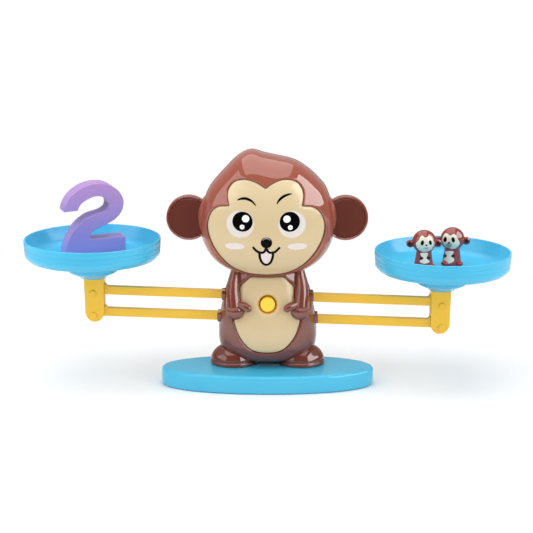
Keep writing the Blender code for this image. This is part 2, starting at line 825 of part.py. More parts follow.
def make_plates():
    bm = bmesh.new()
    add_draped(bm, FACE_OUTLINE, FACE_CENTRE, head_front, PLATE_SINK, PLATE_SINK + PLATE_THICKNESS)
    finish(bm, "face_plate", "cream")

    bm = bmesh.new()
    add_draped(bm, BELLY_OUTLINE, BELLY_CENTRE, body_front, PLATE_SINK, PLATE_SINK + PLATE_THICKNESS)
    plate = finish(bm, "belly_plate", "cream")
    bm = bmesh.new()
    add_cylinder(bm, BELLY_HOLE_RADIUS, -0.04, -0.005, (0, 0, UPPER_PIVOT_Z), segments=36)
    cut(plate, finish(bm, "cut_belly_hole"))


def make_ears(forms):
    half = EAR_HALF_THICKNESS
    inner = EAR_RADIUS - EAR_RIM
    for name, side in (("left_ear", -1), ("right_ear", 1)):
        bm = bmesh.new()
        centre = (HEAD_CENTRE[0] + side * EAR_X, 0, EAR_Z)
        profile = (
            (0.0, -half + EAR_DISH),
            (inner - 0.0012, -half + EAR_DISH),
            (inner, -half + EAR_DISH * 0.4),
            (inner + EAR_RIM * 0.4, -half),
            (EAR_RADIUS - 0.0003, -half + 0.0006),
            (EAR_RADIUS, -half + 0.0020),
            (EAR_RADIUS, half - 0.0020),
            (EAR_RADIUS - 0.0006, half - 0.0006),
            (EAR_RADIUS - 0.0020, half),
            (0.0, half),
        )
        add_turned(bm, profile, centre, segments=36)
        ear = finish(bm, name, "brown")
        bm = bmesh.new()
        xs = sorted((side * TONGUE_X[0], side * TONGUE_X[1]))
        add_box(
            bm,
            (xs[0], -TONGUE_DEPTH / 2, EAR_Z - TONGUE_HEIGHT / 2),
            (xs[1], TONGUE_DEPTH / 2, EAR_Z + TONGUE_HEIGHT / 2),
        )
        tongue = finish(bm, name + "_tongue")
        bm = bmesh.new()
        xs = sorted((side * CATCH_X[0], side * CATCH_X[1]))
        add_box(
            bm,
            (xs[0], -CATCH_HALF_DEPTH, EAR_Z - CATCH_HALF_HEIGHT),
            (xs[1], CATCH_HALF_DEPTH, EAR_Z + CATCH_HALF_HEIGHT),
        )
        catch = finish(bm, name + "_catch")
        cut(ear, forms["head_clear"], forms["ear_seats_clear"])
        join(ear, tongue, catch)


def beam_outline():
    """A beam's outline, x and z about its own pivot: the eye on the left, then the eye on the right."""
    half = BEAM_HEIGHT / 2
    top, bottom = BEAM_RISE + half, BEAM_RISE - half
    post_face = HALF_SPAN - POST_WIDTH_TOP / 2 - POST_INWARD - 0.0006
    right = [(post_face - EYE_FILLET, top)]
    for k in range(1, 4):
        angle = math.pi / 2 * k / 4
        right.append(
            (
                post_face - EYE_FILLET + EYE_FILLET * math.sin(angle),
                top + EYE_FILLET * (1 - math.cos(angle)),
            )
        )
    right.append((post_face, top + EYE_FILLET))
    right.append((HALF_SPAN - EYE_RADIUS * 0.9, EYE_RADIUS + 0.0010))
    first, last = math.radians(80), math.radians(-145)
    for k in range(15):
        angle = first + (last - first) * k / 14
        right.append((HALF_SPAN + EYE_RADIUS * math.cos(angle), EYE_RADIUS * math.sin(angle)))
    right.append((HALF_SPAN - 0.0062, bottom))
    left = [(-x, z) for x, z in reversed(right)]
    return [*left, *right]


def make_beam(name, pivot_z, hub_radius, bore):
    bm = bmesh.new()
    add_prism(bm, beam_outline(), -BEAM_THICKNESS / 2, BEAM_THICKNESS / 2)
    beam = finish(bm, name, "yellow", (0, 0, pivot_z))
    beam.rotation_euler = (0, REST_TILT, 0)
    bm = bmesh.new()
    add_cylinder(bm, hub_radius, -HUB_LENGTH / 2, HUB_LENGTH / 2, (0, 0, 0))
    hub = finish(bm, name + "_hub")
    bm = bmesh.new()
    add_cylinder(bm, bore, -0.01, 0.01, (0, 0, 0))
    for side in (-1, 1):
        add_cylinder(bm, PIN_RADIUS + RUNNING, -0.01, 0.01, (side * HALF_SPAN, 0, 0), segments=PIN_SIDES)
    bores = finish(bm, name + "_bores")
    for helper in (hub, bores):
        helper.location = beam.location
        helper.rotation_euler = beam.rotation_euler
    join(beam, hub)
    cut(beam, bores)


def make_pivot_pins():
    bm = bmesh.new()
    shaft, head = UPPER_SHAFT_RADIUS, BUTTON_RADIUS
    profile = (
        (0.0, -BUTTON_FRONT),
        (head - 0.0008, -BUTTON_FRONT),
        (head, -BUTTON_FRONT + 0.0008),
        (head, -BUTTON_BACK),
        (shaft, -BUTTON_BACK),
        (shaft, PIVOT_REAR - 0.0006),
        (shaft - 0.0006, PIVOT_REAR),
        (0.0, PIVOT_REAR),
    )
    add_turned(bm, profile)
    finish(bm, "upper_pivot_pin", "button", (0, 0, UPPER_PIVOT_Z))
    bm = bmesh.new()
    shaft = LOWER_SHAFT_RADIUS
    profile = (
        (0.0, -PIVOT_REAR),
        (shaft - 0.0005, -PIVOT_REAR),
        (shaft, -PIVOT_REAR + 0.0005),
        (shaft, PIVOT_REAR - 0.0005),
        (shaft - 0.0005, PIVOT_REAR),
        (0.0, PIVOT_REAR),
    )
    add_turned(bm, profile)
    finish(bm, "lower_pivot_pin", "steel", (0, 0, LOWER_PIVOT_Z))


def bracket_top(side):
    """Place of a bracket's upper pin."""
    return Vector(
        (
            side * HALF_SPAN * math.cos(REST_TILT),
            0,
            UPPER_PIVOT_Z - side * HALF_SPAN * math.sin(REST_TILT),
        )
    )


def make_bracket(name, side):
    """A post with a slot for the beams' eyes, about its upper pin. side is -1 on the left."""
    middle = -side * POST_INWARD
    low, high = -PIVOT_SPACING - POST_BELOW_PIN, POST_ABOVE_PIN
    bottom_radius = POST_WIDTH_LOW / 2
    arc_z = low + bottom_radius
    outline = [(middle - POST_WIDTH_TOP / 2, high)]
    for k in range(13):
        angle = math.pi + math.pi * k / 12
        outline.append((middle + bottom_radius * math.cos(angle), arc_z + bottom_radius * math.sin(angle)))
    outline.append((middle + POST_WIDTH_TOP / 2, high))
    bm = bmesh.new()
    add_prism(bm, outline, -POST_DEPTH / 2, POST_DEPTH / 2)
    edges = [edge for edge in bm.edges if abs(edge.verts[0].co.y - edge.verts[1].co.y) < 1e-6]
    edges = [edge for edge in edges if min(v.co.z for v in edge.verts) < high - 1e-6]
    bmesh.ops.bevel(
        bm,
        geom=edges,
        offset=POST_CORNER,
        offset_type="OFFSET",
        segments=3,
        profile=0.5,
        affect="EDGES",
        clamp_overlap=True,
        material=-1,
    )
    bracket = finish(bm, name, "yellow", bracket_top(side))

    bm = bmesh.new()
    half_x, half_y = TENON_WIDTH / 2, TENON_DEPTH / 2
    add_box(bm, (-half_x, -half_y, high - 0.001), (half_x, half_y, high + TENON_HEIGHT))
    tenon = finish(bm, name + "_tenon")
    bm = bmesh.new()
    xs = sorted((side * SLOT_OUTER, -side * 0.03))
    half_slot = BEAM_THICKNESS / 2 + SLOT_SIDE_GAP
    add_box(bm, (xs[0], -half_slot, low - 0.01), (xs[1], half_slot, SLOT_ABOVE_PIN))
    slot = finish(bm, name + "_slot")
    bm = bmesh.new()
    for z in (0.0, -PIVOT_SPACING):
        add_cylinder(bm, PIN_RADIUS + RUNNING, -0.02, 0.02, (0, 0, z), segments=PIN_SIDES)
    bores = finish(bm, name + "_bores")
    for helper in (tenon, slot, bores):
        helper.location = bracket.location
    join(bracket, tenon)
    cut(bracket, slot, bores)


def make_bracket_pins(side_name, side):
    front = -POST_DEPTH / 2 - GAP / 3
    for level, drop in (("upper", 0.0), ("lower", PIVOT_SPACING)):
        bm = bmesh.new()
        profile = (
            (0.0, front - PIN_HEAD_HEIGHT + 0.0005),
            (PIN_DIMPLE_RADIUS, front - PIN_HEAD_HEIGHT),
            (PIN_HEAD_RADIUS - 0.0005, front - PIN_HEAD_HEIGHT),
            (PIN_HEAD_RADIUS, front - PIN_HEAD_HEIGHT + 0.0005),
            (PIN_HEAD_RADIUS, front),
            (PIN_RADIUS, front),
            (PIN_RADIUS, POST_DEPTH / 2 - 0.0003),
            (PIN_RADIUS - 0.0003, POST_DEPTH / 2),
            (0.0, POST_DEPTH / 2),
        )
        add_turned(bm, profile, segments=PIN_SIDES)
        finish(bm, f"{side_name}_{level}_pin", "yellow", bracket_top(side) - Vector((0, 0, drop)))


def pan_rim_z(side):
    return bracket_top(side).z + POST_ABOVE_PIN + GAP + PAN_HEIGHT


def make_pan(name, side):
    """A turned pan, heights down from its rim, and a socket below for the bracket's tenon."""
    profile = (
        (0.0, -PAN_FLOOR),
        (PAN_FLOOR_RADIUS, -PAN_FLOOR),
        (PAN_FLOOR_RADIUS + 0.0040, -PAN_FLOOR + 0.0010),
        (PAN_RADIUS - PAN_WALL - 0.0018, -PAN_FLOOR + 0.0042),
        (PAN_RADIUS - PAN_RIM_WALL, -0.0006),
        (PAN_RADIUS - PAN_RIM_WALL * 0.7, 0.0),
        (PAN_RADIUS - 0.0004, 0.0),
        (PAN_RADIUS, -0.0006),
        (PAN_RADIUS - 0.0006, -PAN_STEP),
        (PAN_RADIUS - 0.0013, -PAN_STEP - 0.0006),
        (PAN_RADIUS - 0.0022, -PAN_SKIRT + 0.0010),
        (PAN_RADIUS - 0.0036, -PAN_SKIRT),
        (PAN_BOSS_RADIUS + 0.0030, -PAN_SKIRT - 0.0006),
        (PAN_BOSS_RADIUS + 0.0006, -PAN_SKIRT - 0.0030),
        (PAN_BOSS_RADIUS, -PAN_BOSS_END + 0.0025),
        (PAN_BOSS_RADIUS - 0.0006, -PAN_BOSS_END + 0.0005),
        (PAN_BOSS_RADIUS - 0.0018, -PAN_BOSS_END),
        (PAN_HUB_RADIUS + 0.0038, -PAN_BOSS_END - 0.0016),
        (PAN_HUB_RADIUS + 0.0008, -PAN_HEIGHT + 0.0012),
        (PAN_HUB_RADIUS, -PAN_HEIGHT),
        (0.0, -PAN_HEIGHT),
    )
    bm = bmesh.new()
    add_turned(bm, profile, axis="Z", segments=44)
    place = (bracket_top(side).x, 0, pan_rim_z(side))
    pan = finish(bm, name, "blue", place)
    bm = bmesh.new()
    half_x, half_y = TENON_WIDTH / 2 + GAP, TENON_DEPTH / 2 + GAP
    add_box(bm, (-half_x, -half_y, -PAN_HEIGHT - 0.01), (half_x, half_y, -PAN_HEIGHT + TENON_HEIGHT + 0.0006))
    socket = finish(bm, name + "_socket")
    socket.location = place
    cut(pan, socket)


def make_base():
    bm = bmesh.new()
    centre = (0.0, BASE_CENTRE_Y)
    rings = []
    steps = 5
    levels = [(0.0, 0.0012), (0.0012, 0.0003), (BASE_HEIGHT * 0.5, 0.0)]
    for k in range(steps + 1):
        angle = math.pi / 2 * k / steps
        levels.append((BASE_HEIGHT - BASE_ROUND * (1 - math.sin(angle)), BASE_ROUND * (1 - math.cos(angle))))
    for z, inset in levels:
        outline = superellipse(BASE_HALF_LENGTH - inset, BASE_HALF_DEPTH - inset, BASE_POWER, 48, centre)
        rings.append([(x, y, z) for x, y in outline])
    add_rings(bm, rings)
    base = finish(bm, "base_plate", "blue")

    bm = bmesh.new()
    rings = []
    for z in (-0.001, BASE_HEIGHT - BASE_WALL - 0.0015, BASE_HEIGHT - BASE_WALL):
        inset = BASE_WALL + (0.0015 if z == BASE_HEIGHT - BASE_WALL else 0.0)
        outline = superellipse(BASE_HALF_LENGTH - inset, BASE_HALF_DEPTH - inset, BASE_POWER, 48, centre)
        rings.append([(x, y, z) for x, y in outline])
    add_rings(bm, rings)
    hollow = finish(bm, "cut_base_hollow")

    bm = bmesh.new()
    room = BASE_HALF_LENGTH - BASE_WALL
    for x in RIB_X:
        reach = (BASE_HALF_DEPTH - BASE_WALL) * (1 - abs(x / room) ** BASE_POWER) ** (1 / BASE_POWER)
        reach = min(reach + 0.0004, BASE_HALF_DEPTH - 2 * BASE_WALL)
        add_box(
            bm,
            (x - RIB_THICKNESS / 2, BASE_CENTRE_Y - reach, RIB_LIFT),
            (x + RIB_THICKNESS / 2, BASE_CENTRE_Y + reach, BASE_HEIGHT - 0.001),
        )
    ribs = finish(bm, "form_base_ribs")
    bm = bmesh.new()
    add_box(
        bm,
        (-BASE_HALF_LENGTH + 2 * BASE_WALL, BASE_CENTRE_Y - RIB_THICKNESS / 2, RIB_LIFT + 0.0005),
        (BASE_HALF_LENGTH - 2 * BASE_WALL, BASE_CENTRE_Y + RIB_THICKNESS / 2, BASE_HEIGHT - 0.0012),
    )
    spine = finish(bm, "form_base_spine")

    bm = bmesh.new()
    for side in (-1, 1):
        centre = (side * BASE_SCREW_X, BASE_SCREW_Y, 0)
        add_cylinder(bm, BASE_BOSS_RADIUS, BASE_BOSS_LIFT, BASE_HEIGHT - 0.0015, centre, "Z", 20)
    bosses = finish(bm, "form_base_bosses")
    bm = bmesh.new()
    shank, head = SHANK_RADIUS + GAP, SCREW_HEAD_RADIUS + GAP
    profile = ((head, -0.01), (head, BASE_SCREW_SEAT), (shank, BASE_SCREW_SEAT), (shank, 0.03))
    for side in (-1, 1):
        add_turned(bm, profile, (side * BASE_SCREW_X, BASE_SCREW_Y, 0), "Z", 16)
    bores = finish(bm, "cut_base_bores")
    cut(base, hollow)
    join(base, ribs, spine, bosses)
    cut(base, bores)


def make_screws():
    for number, (x, z, seat) in enumerate(SHELL_SCREWS, start=1):
        bm = bmesh.new()
        add_turned(bm, screw_profile(seat), segments=16)
        finish(bm, f"shell_screw_{number}", "steel", (x, 0, z))
    for name, side in (("base_screw_left", -1), ("base_screw_right", 1)):
        bm = bmesh.new()
        add_turned(bm, screw_profile(0.0), segments=16)
        bmesh.ops.rotate(bm, verts=bm.verts, cent=(0, 0, 0), matrix=Matrix.Rotation(-math.pi / 2, 3, "X"))
        bmesh.ops.scale(bm, verts=[v for v in bm.verts if v.co.z > 0.002], vec=(1, 1, 0.8))
        finish(bm, name, "steel", (side * BASE_SCREW_X, BASE_SCREW_Y, BASE_SCREW_SEAT))


def make_numeral():
    stroke = [*smooth_open(TWO_STROKE_OUTER, 2), *smooth_open(TWO_STROKE_INNER, 2)]
    outline = [*stroke, (TWO_WIDTH, TWO_BAR), (TWO_WIDTH, 0.0)]
    bm = bmesh.new()
    centred = [(x - TWO_WIDTH / 2, z) for x, z in outline]
    add_prism(bm, centred, -NUMERAL_THICKNESS / 2, NUMERAL_THICKNESS / 2)
    floor = pan_rim_z(-1) - PAN_FLOOR + GAP
    numeral = finish(bm, "numeral_weight", "purple", (bracket_top(-1).x - 0.0001, NUMERAL_Y, floor))
    numeral.rotation_euler = (0, 0, NUMERAL_YAW)


def make_small_monkey(name, x, y, yaw):
    """One moulded weight: feet, body, head and ears about the point between its feet."""
    floor = pan_rim_z(1) - PAN_FLOOR + GAP
    place = (bracket_top(1).x + x, y, floor)
    bm = bmesh.new()
    rings = []
    for z, half_x, half_y in SMALL_BODY:
        rings.append([(px, py, z) for px, py in superellipse(half_x, half_y, 2.3, 20)])
    add_rings(bm, rings)
    monkey = finish(bm, name, "red_brown", place)
    bm = bmesh.new()
    add_ellipsoid(bm, (0, 0, SMALL_HEAD_Z), SMALL_HEAD_RADII, 20, 12)
    head = finish(bm, name + "_head")
    bm = bmesh.new()
    for side in (-1, 1):
        add_ellipsoid(bm, (side * SMALL_EAR_PLACE[0], 0, SMALL_EAR_PLACE[1]), SMALL_EAR_RADII, 10, 6)
    ears = finish(bm, name + "_ears")
    bm = bmesh.new()
    for side in (-1, 1):
        foot_x, foot_y, foot_z = SMALL_FOOT_PLACE
        add_ellipsoid(bm, (side * foot_x, foot_y, foot_z), SMALL_FOOT_RADII, 10, 6)
    feet = finish(bm, name + "_feet")
    for helper in (head, ears, feet):
        helper.location = place
        helper.rotation_euler = (0, 0, yaw)
    monkey.rotation_euler = (0, 0, yaw)
    join(monkey, head, ears, feet)


clear_scene()
casing_forms = make_casing_forms()
make_base()
make_front_shell(casing_forms)
make_rear_shell(casing_forms)
make_plates()
make_ears(casing_forms)
make_beam("upper_beam", UPPER_PIVOT_Z, UPPER_HUB_RADIUS, UPPER_SHAFT_RADIUS + RUNNING)
make_beam("lower_beam", LOWER_PIVOT_Z, LOWER_HUB_RADIUS, LOWER_SHAFT_RADIUS + RUNNING)
make_pivot_pins()
for side_name, side in (("left", -1), ("right", 1)):
    make_bracket(side_name + "_bracket", side)
    make_bracket_pins(side_name, side)
    make_pan(side_name + "_pan", side)
make_screws()
make_numeral()
for monkey in SMALL_MONKEYS:
    make_small_monkey(*monkey)
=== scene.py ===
import bisect
import json
import math

import bmesh
import bpy
from mathutils import Matrix, Vector


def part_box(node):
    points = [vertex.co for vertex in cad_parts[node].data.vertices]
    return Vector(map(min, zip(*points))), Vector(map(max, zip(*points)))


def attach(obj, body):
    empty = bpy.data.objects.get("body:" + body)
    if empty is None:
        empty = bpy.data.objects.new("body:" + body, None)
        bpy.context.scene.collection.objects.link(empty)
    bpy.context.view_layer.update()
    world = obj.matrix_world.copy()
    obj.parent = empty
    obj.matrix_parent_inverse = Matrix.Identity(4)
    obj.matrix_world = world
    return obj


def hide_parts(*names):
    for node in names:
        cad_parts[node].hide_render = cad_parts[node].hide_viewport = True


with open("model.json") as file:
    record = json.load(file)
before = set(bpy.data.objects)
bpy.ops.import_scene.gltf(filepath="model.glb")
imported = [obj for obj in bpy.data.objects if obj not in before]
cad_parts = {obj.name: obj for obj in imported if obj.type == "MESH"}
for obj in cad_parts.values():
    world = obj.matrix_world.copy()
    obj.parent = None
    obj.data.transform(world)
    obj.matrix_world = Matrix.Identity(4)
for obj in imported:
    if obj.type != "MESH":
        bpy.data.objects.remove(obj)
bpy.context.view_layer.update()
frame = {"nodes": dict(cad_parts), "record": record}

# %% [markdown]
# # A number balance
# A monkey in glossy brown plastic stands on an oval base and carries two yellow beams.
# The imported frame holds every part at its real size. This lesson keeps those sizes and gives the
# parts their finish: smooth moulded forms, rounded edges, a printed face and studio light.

MM = 0.001

# %% [markdown]
# ## Camera
# The photograph was taken from about a metre away, a little above the toy, with a long lens.
# The camera looks at a point at the top of the belly, and is rolled by a tenth of a degree.

# %% Camera
TARGET = Vector((-0.0009, 0.0, 0.0866))
DISTANCE = 1.0
LENS, SENSOR = 91.86, 36.0
ELEVATION = math.radians(13.8)
ROLL = math.radians(0.1)

camera_data = bpy.data.cameras.new("camera")
camera_data.lens = LENS
camera_data.sensor_width = SENSOR
camera_data.clip_start = 0.05
camera_data.clip_end = 20.0
camera = bpy.data.objects.new("camera", camera_data)
bpy.context.collection.objects.link(camera)
backwards = Vector((0, -math.cos(ELEVATION), math.sin(ELEVATION)))
camera.location = TARGET + backwards * DISTANCE
turn = (-backwards).to_track_quat("-Z", "Y").to_matrix() @ Matrix.Rotation(ROLL, 3, "Z")
camera.rotation_euler = turn.to_euler()
bpy.context.scene.camera = camera
print("camera", [round(v, 3) for v in camera.location])

# %% [markdown]
# ## Light
# Three rectangular soft boxes light the toy, one overhead and one on each side. Reflections don't see
# them. They see the cards of a later step instead, so that light and gloss are set one by one.

# %% Lamps
def soft_box(name, place, aim, size, radiance):
    """A rectangular lamp that faces a point. Its power follows from how bright its face looks."""
    lamp = bpy.data.lights.new(name, "AREA")
    lamp.shape = "RECTANGLE"
    lamp.size, lamp.size_y = size
    lamp.energy = radiance * math.pi * size[0] * size[1]
    made = bpy.data.objects.new(name, lamp)
    made.location = place
    made.rotation_euler = (Vector(aim) - Vector(place)).to_track_quat("-Z", "Y").to_euler()
    made.visible_glossy = False
    bpy.context.collection.objects.link(made)


soft_box("box_overhead", (-0.27, -0.05, 1.15), (-0.27, -0.05, 0.0), (1.55, 1.90), 1.6)
soft_box("box_left", (-0.80, -0.39, 0.60), (0.0, -0.39, 0.55), (1.02, 0.72), 2.1)
soft_box("box_right", (0.80, -0.46, 0.62), (0.0, -0.46, 0.57), (1.16, 0.76), 2.4)
print("lamps", len(bpy.data.lights))

# %% [markdown]
# ## Nodes, materials and objects
# Every shader below is built by the same few helpers: one adds a node, one feeds its inputs, and one
# starts a material. Another makes an object from a bmesh.

# %% Helpers
def feed(tree, node, inputs):
    """Fills a node's inputs. Another node's socket is linked, and a plain value is set."""
    for socket, value in inputs.items():
        if isinstance(value, bpy.types.NodeSocket):
            tree.links.new(value, node.inputs[socket])
        else:
            node.inputs[socket].default_value = value
    return node


def add_node(tree, kind, inputs=None, **settings):
    node = tree.nodes.new("ShaderNode" + kind)
    for name, value in settings.items():
        setattr(node, name, value)
    return feed(tree, node, inputs or {})


def new_material(name):
    made = bpy.data.materials.new(name)
    made.use_nodes = True
    return made, made.node_tree


def new_object(name, bm, finish):
    """An object at the origin, made from a bmesh that is used up."""
    mesh = bpy.data.meshes.new(name)
    bm.to_mesh(mesh)
    bm.free()
    mesh.materials.append(finish)
    made = bpy.data.objects.new(name, mesh)
    bpy.context.collection.objects.link(made)
    return made


print("helpers ready")

# %% [markdown]
# ## White all round
# The photograph's background is plain white. The world, the backdrop and the far floor are white to
# the camera, and light the object only softly. The floor near the toy is an ordinary lit surface, so
# that it keeps the toy's shadow.

# %% World
WHITE = (1.0, 1.0, 1.0, 1.0)
SOFT_LEVEL = 0.46


def seen_directly(tree):
    """1 for the rays that show a surface itself: from the camera and off gloss."""
    path = add_node(tree, "LightPath").outputs
    rays = {0: path["Is Camera Ray"], 1: path["Is Glossy Ray"]}
    return add_node(tree, "Math", rays, operation="MAXIMUM").outputs[0]


scene = bpy.context.scene
scene.view_settings.view_transform = "Standard"
scene.world = bpy.data.worlds.new("studio")
scene.world.use_nodes = True
tree = scene.world.node_tree
soft = feed(tree, tree.nodes["Background"], {"Color": WHITE, "Strength": SOFT_LEVEL}).outputs["Background"]
plain = add_node(tree, "Background", {"Color": WHITE}).outputs["Background"]
mix = add_node(tree, "MixShader", {"Fac": seen_directly(tree), 1: soft, 2: plain})
feed(tree, tree.nodes["World Output"], {"Surface": mix.outputs["Shader"]})
print("world", scene.world.name)

# %% Floor and backdrop
FLOOR_SIZE = 9.0
FLOOR_GREY = (0.86, 0.86, 0.86, 1.0)
LIT_WITHIN, WHITE_BEYOND = 0.28, 0.504


def stage_plane(name, place, finish, turned=(0, 0, 0)):
    bpy.ops.mesh.primitive_plane_add(size=FLOOR_SIZE, location=place, rotation=turned)
    plane = bpy.context.object
    plane.name = name
    plane.data.materials.append(finish)


def white_stage(name, lit=False):
    """White where it is seen. Where lit, the middle is like paper and takes light and shadow."""
    made, tree = new_material(name)
    paper = {"Base Color": FLOOR_GREY, "Roughness": 1.0, "Specular IOR Level": 0.0}
    paper = feed(tree, tree.nodes["Principled BSDF"], paper)
    plain = add_node(tree, "Emission", {"Color": WHITE})
    share = seen_directly(tree)
    if lit:
        place = add_node(tree, "TexCoord").outputs["Object"]
        away = add_node(tree, "VectorMath", {0: place}, operation="LENGTH").outputs["Value"]
        fade = {"Value": away, "From Min": LIT_WITHIN, "From Max": WHITE_BEYOND}
        fade = add_node(tree, "MapRange", fade).outputs["Result"]
        share = add_node(tree, "Math", {0: share, 1: fade}, operation="MULTIPLY").outputs[0]
    mix = {"Fac": share, 1: paper.outputs["BSDF"], 2: plain.outputs["Emission"]}
    mix = add_node(tree, "MixShader", mix)
    feed(tree, tree.nodes["Material Output"], {"Surface": mix.outputs["Shader"]})
    return made


stage_plane("floor", (0, 0, -0.0002), white_stage("floor_white", lit=True))
stage_plane("backdrop", (0, 3.0, 2.0), white_stage("backdrop_white"), (math.pi / 2, 0, 0))
print("stage", FLOOR_SIZE, "m")

# %% [markdown]
# ## The dark side of the studio
# Glossy brown plastic shows what stands round the camera, and in the photograph that is a dim room
# between the soft boxes, paler towards the back. The room is a dome that only reflections see, with
# cards as photographers use. Two on the floor hide the white there, and three bright ones stand where
# the plastic mirrors them: overhead for the patch on top of the head, and left and right for its sides.

# %% The room, for reflections only
ROOM_RADIUS, ROOM_BOTTOM = 2.6, -0.1
ROOM_FRONT, ROOM_BACK = 0.10, 0.50
RISE_FROM, RISE_TO = 0.5, 2.34


def for_reflections_only(name, bm, finish):
    """A stage object that lights nothing and that only glossy rays see."""
    made = new_object(name, bm, finish)
    made.visible_camera = made.visible_diffuse = made.visible_shadow = False
    made.visible_transmission = made.visible_volume_scatter = False


def glow(name, level, colour=WHITE):
    """An even glow. The shader's own strength is its level."""
    made, tree = new_material(name)
    tree.nodes.remove(tree.nodes["Principled BSDF"])
    light = add_node(tree, "Emission", {"Color": colour, "Strength": level})
    feed(tree, tree.nodes["Material Output"], {"Surface": light.outputs["Emission"]})
    return made


room_glow = glow("room_glow", ROOM_FRONT)
tree = room_glow.node_tree
depth = add_node(tree, "SeparateXYZ", {0: add_node(tree, "TexCoord").outputs["Object"]}).outputs["Y"]
rise = {"Value": depth, "From Min": RISE_FROM, "From Max": RISE_TO}
rise = add_node(tree, "MapRange", {**rise, "To Min": ROOM_FRONT, "To Max": ROOM_BACK})
feed(tree, tree.nodes["Emission"], {"Strength": rise.outputs["Result"]})
bm = bmesh.new()
bmesh.ops.create_uvsphere(bm, u_segments=64, v_segments=32, radius=ROOM_RADIUS)
below = [face for face in bm.faces if face.calc_center_median().z < ROOM_BOTTOM]
bmesh.ops.delete(bm, geom=below, context="FACES")
for_reflections_only("room", bm, room_glow)
print("room", ROOM_RADIUS, "m")

# %% Cards
WARM = (1.0, 0.62, 0.52, 1.0)
CARDS = {  # centre, size, the axis it faces along, level, colour
    "floor_card_front": ((0, -1.18, 0.002), (3.0, 1.64), "Z", ROOM_FRONT, WHITE),
    "floor_card_back": ((0, 1.50, 0.002), (5.0, 2.20), "Z", 0.36, WARM),
    "card_overhead": ((-0.15, 0.0, 1.12), (1.30, 1.88), "Z", 1.6, WHITE),
    "card_left": ((-0.79, -0.56, 0.54), (0.64, 1.08), "X", 1.5, WHITE),
    "card_right": ((0.79, -0.60, 0.68), (0.94, 1.42), "X", 4.5, WHITE),
}
for name, (centre, size, axis, level, colour) in CARDS.items():
    bm = bmesh.new()
    corners = bmesh.ops.create_grid(bm, x_segments=1, y_segments=1, size=0.5)["verts"]
    bmesh.ops.scale(bm, verts=corners, vec=(*size, 1.0))
    if axis == "X":
        bmesh.ops.rotate(bm, verts=corners, cent=(0, 0, 0), matrix=Matrix.Rotation(math.pi / 2, 3, "Y"))
    bmesh.ops.translate(bm, verts=corners, vec=centre)
    for_reflections_only(name, bm, glow(name + "_glow", level, colour))
print("cards", len(CARDS))

# %% [markdown]
# ## Finishes
# All plastics share one node group for the moulding's faint unevenness: a slow drift of the tone and
# of the gloss, and fine level streaks where a turned mould leaves them. Each plastic then has its own
# colour, gloss and amounts, and may change colour with height. On the brown and the cream that change
# is painted light and shade: the brown is painted darker on the body than on the head, and the cream
# a little lighter on the face's upper lobes.

# %% A node group for moulded plastic
GREY = (0.5, 0.5, 0.5, 1.0)
DRIFT_SCALE = 28.0
STREAK_SCALE = (9.0, 9.0, 900.0)
GLOSS_DRIFT = 0.02
GROUP_INPUTS = {
    "Colour": GREY,
    "Low Colour": GREY,
    "Low Height": 0.0,
    "High Height": 0.2,
    "Drift": 0.08,
    "Streak": 0.0,
    "Gloss": 0.2,
}
moulding = bpy.data.node_groups.new("moulded_surface", "ShaderNodeTree")
for name, value in GROUP_INPUTS.items():
    kind = "NodeSocketColor" if value is GREY else "NodeSocketFloat"
    moulding.interface.new_socket(name, in_out="INPUT", socket_type=kind).default_value = value
moulding.interface.new_socket("Colour", in_out="OUTPUT", socket_type="NodeSocketColor")
moulding.interface.new_socket("Roughness", in_out="OUTPUT", socket_type="NodeSocketFloat")
ins = moulding.nodes.new("NodeGroupInput").outputs
outs = moulding.nodes.new("NodeGroupOutput")


def maths(operation, *values):
    """A Math node of the group, on sockets or plain numbers."""
    return add_node(moulding, "Math", dict(enumerate(values)), operation=operation).outputs[0]


place = add_node(moulding, "TexCoord").outputs["Object"]
height = add_node(moulding, "SeparateXYZ", {0: place}).outputs["Z"]
# Colour with height: on the brown, painted shade lower down; on the cream, painted light higher up.
rise = {"Value": height, "From Min": ins["Low Height"], "From Max": ins["High Height"]}
rise = add_node(moulding, "MapRange", rise).outputs["Result"]
tint = {"Factor": rise, 6: ins["Low Colour"], 7: ins["Colour"]}
tint = add_node(moulding, "Mix", tint, data_type="RGBA").outputs[2]
slow = add_node(moulding, "TexNoise", {"Vector": place, "Scale": DRIFT_SCALE, "Detail": 3.0}).outputs["Fac"]
flat = add_node(moulding, "VectorMath", {0: place, 1: STREAK_SCALE}, operation="MULTIPLY")
lines = {"Vector": flat.outputs["Vector"], "Scale": 1.0, "Detail": 2.0}
lines = add_node(moulding, "TexNoise", lines).outputs["Fac"]
drift = maths("MULTIPLY_ADD", maths("SUBTRACT", slow, 0.5), ins["Drift"], 1.0)
value = maths("MULTIPLY_ADD", maths("SUBTRACT", lines, 0.5), ins["Streak"], drift)
shade = add_node(moulding, "HueSaturation", {"Color": tint, "Value": value}).outputs["Color"]
gloss = maths("MULTIPLY_ADD", slow, GLOSS_DRIFT, ins["Gloss"])
feed(moulding, outs, {"Colour": shade, "Roughness": gloss})
print("group", moulding.name, len(moulding.nodes), "nodes")

# %% The plastics and the inks
def screen(colour):
    """A colour given as it looks on screen, 0 to 255, as the linear colour that the shader takes."""
    return (*[(v / 255) ** 2.2 for v in colour], 1.0)


def plastic(name, colour, gloss, low=None, heights=(0.0, 0.2), drift=0.06, streak=0.0, specular=0.5):
    """A moulded plastic. low is its colour at the first of two heights, where it changes with height."""
    made, tree = new_material(name)
    values = (screen(colour), screen(low or colour), *heights, drift, streak, gloss)
    surface = add_node(tree, "Group", dict(zip(GROUP_INPUTS, values)), node_tree=moulding).outputs
    shader = {"Base Color": surface["Colour"], "Roughness": surface["Roughness"]}
    feed(tree, tree.nodes["Principled BSDF"], {**shader, "Specular IOR Level": specular})
    return made


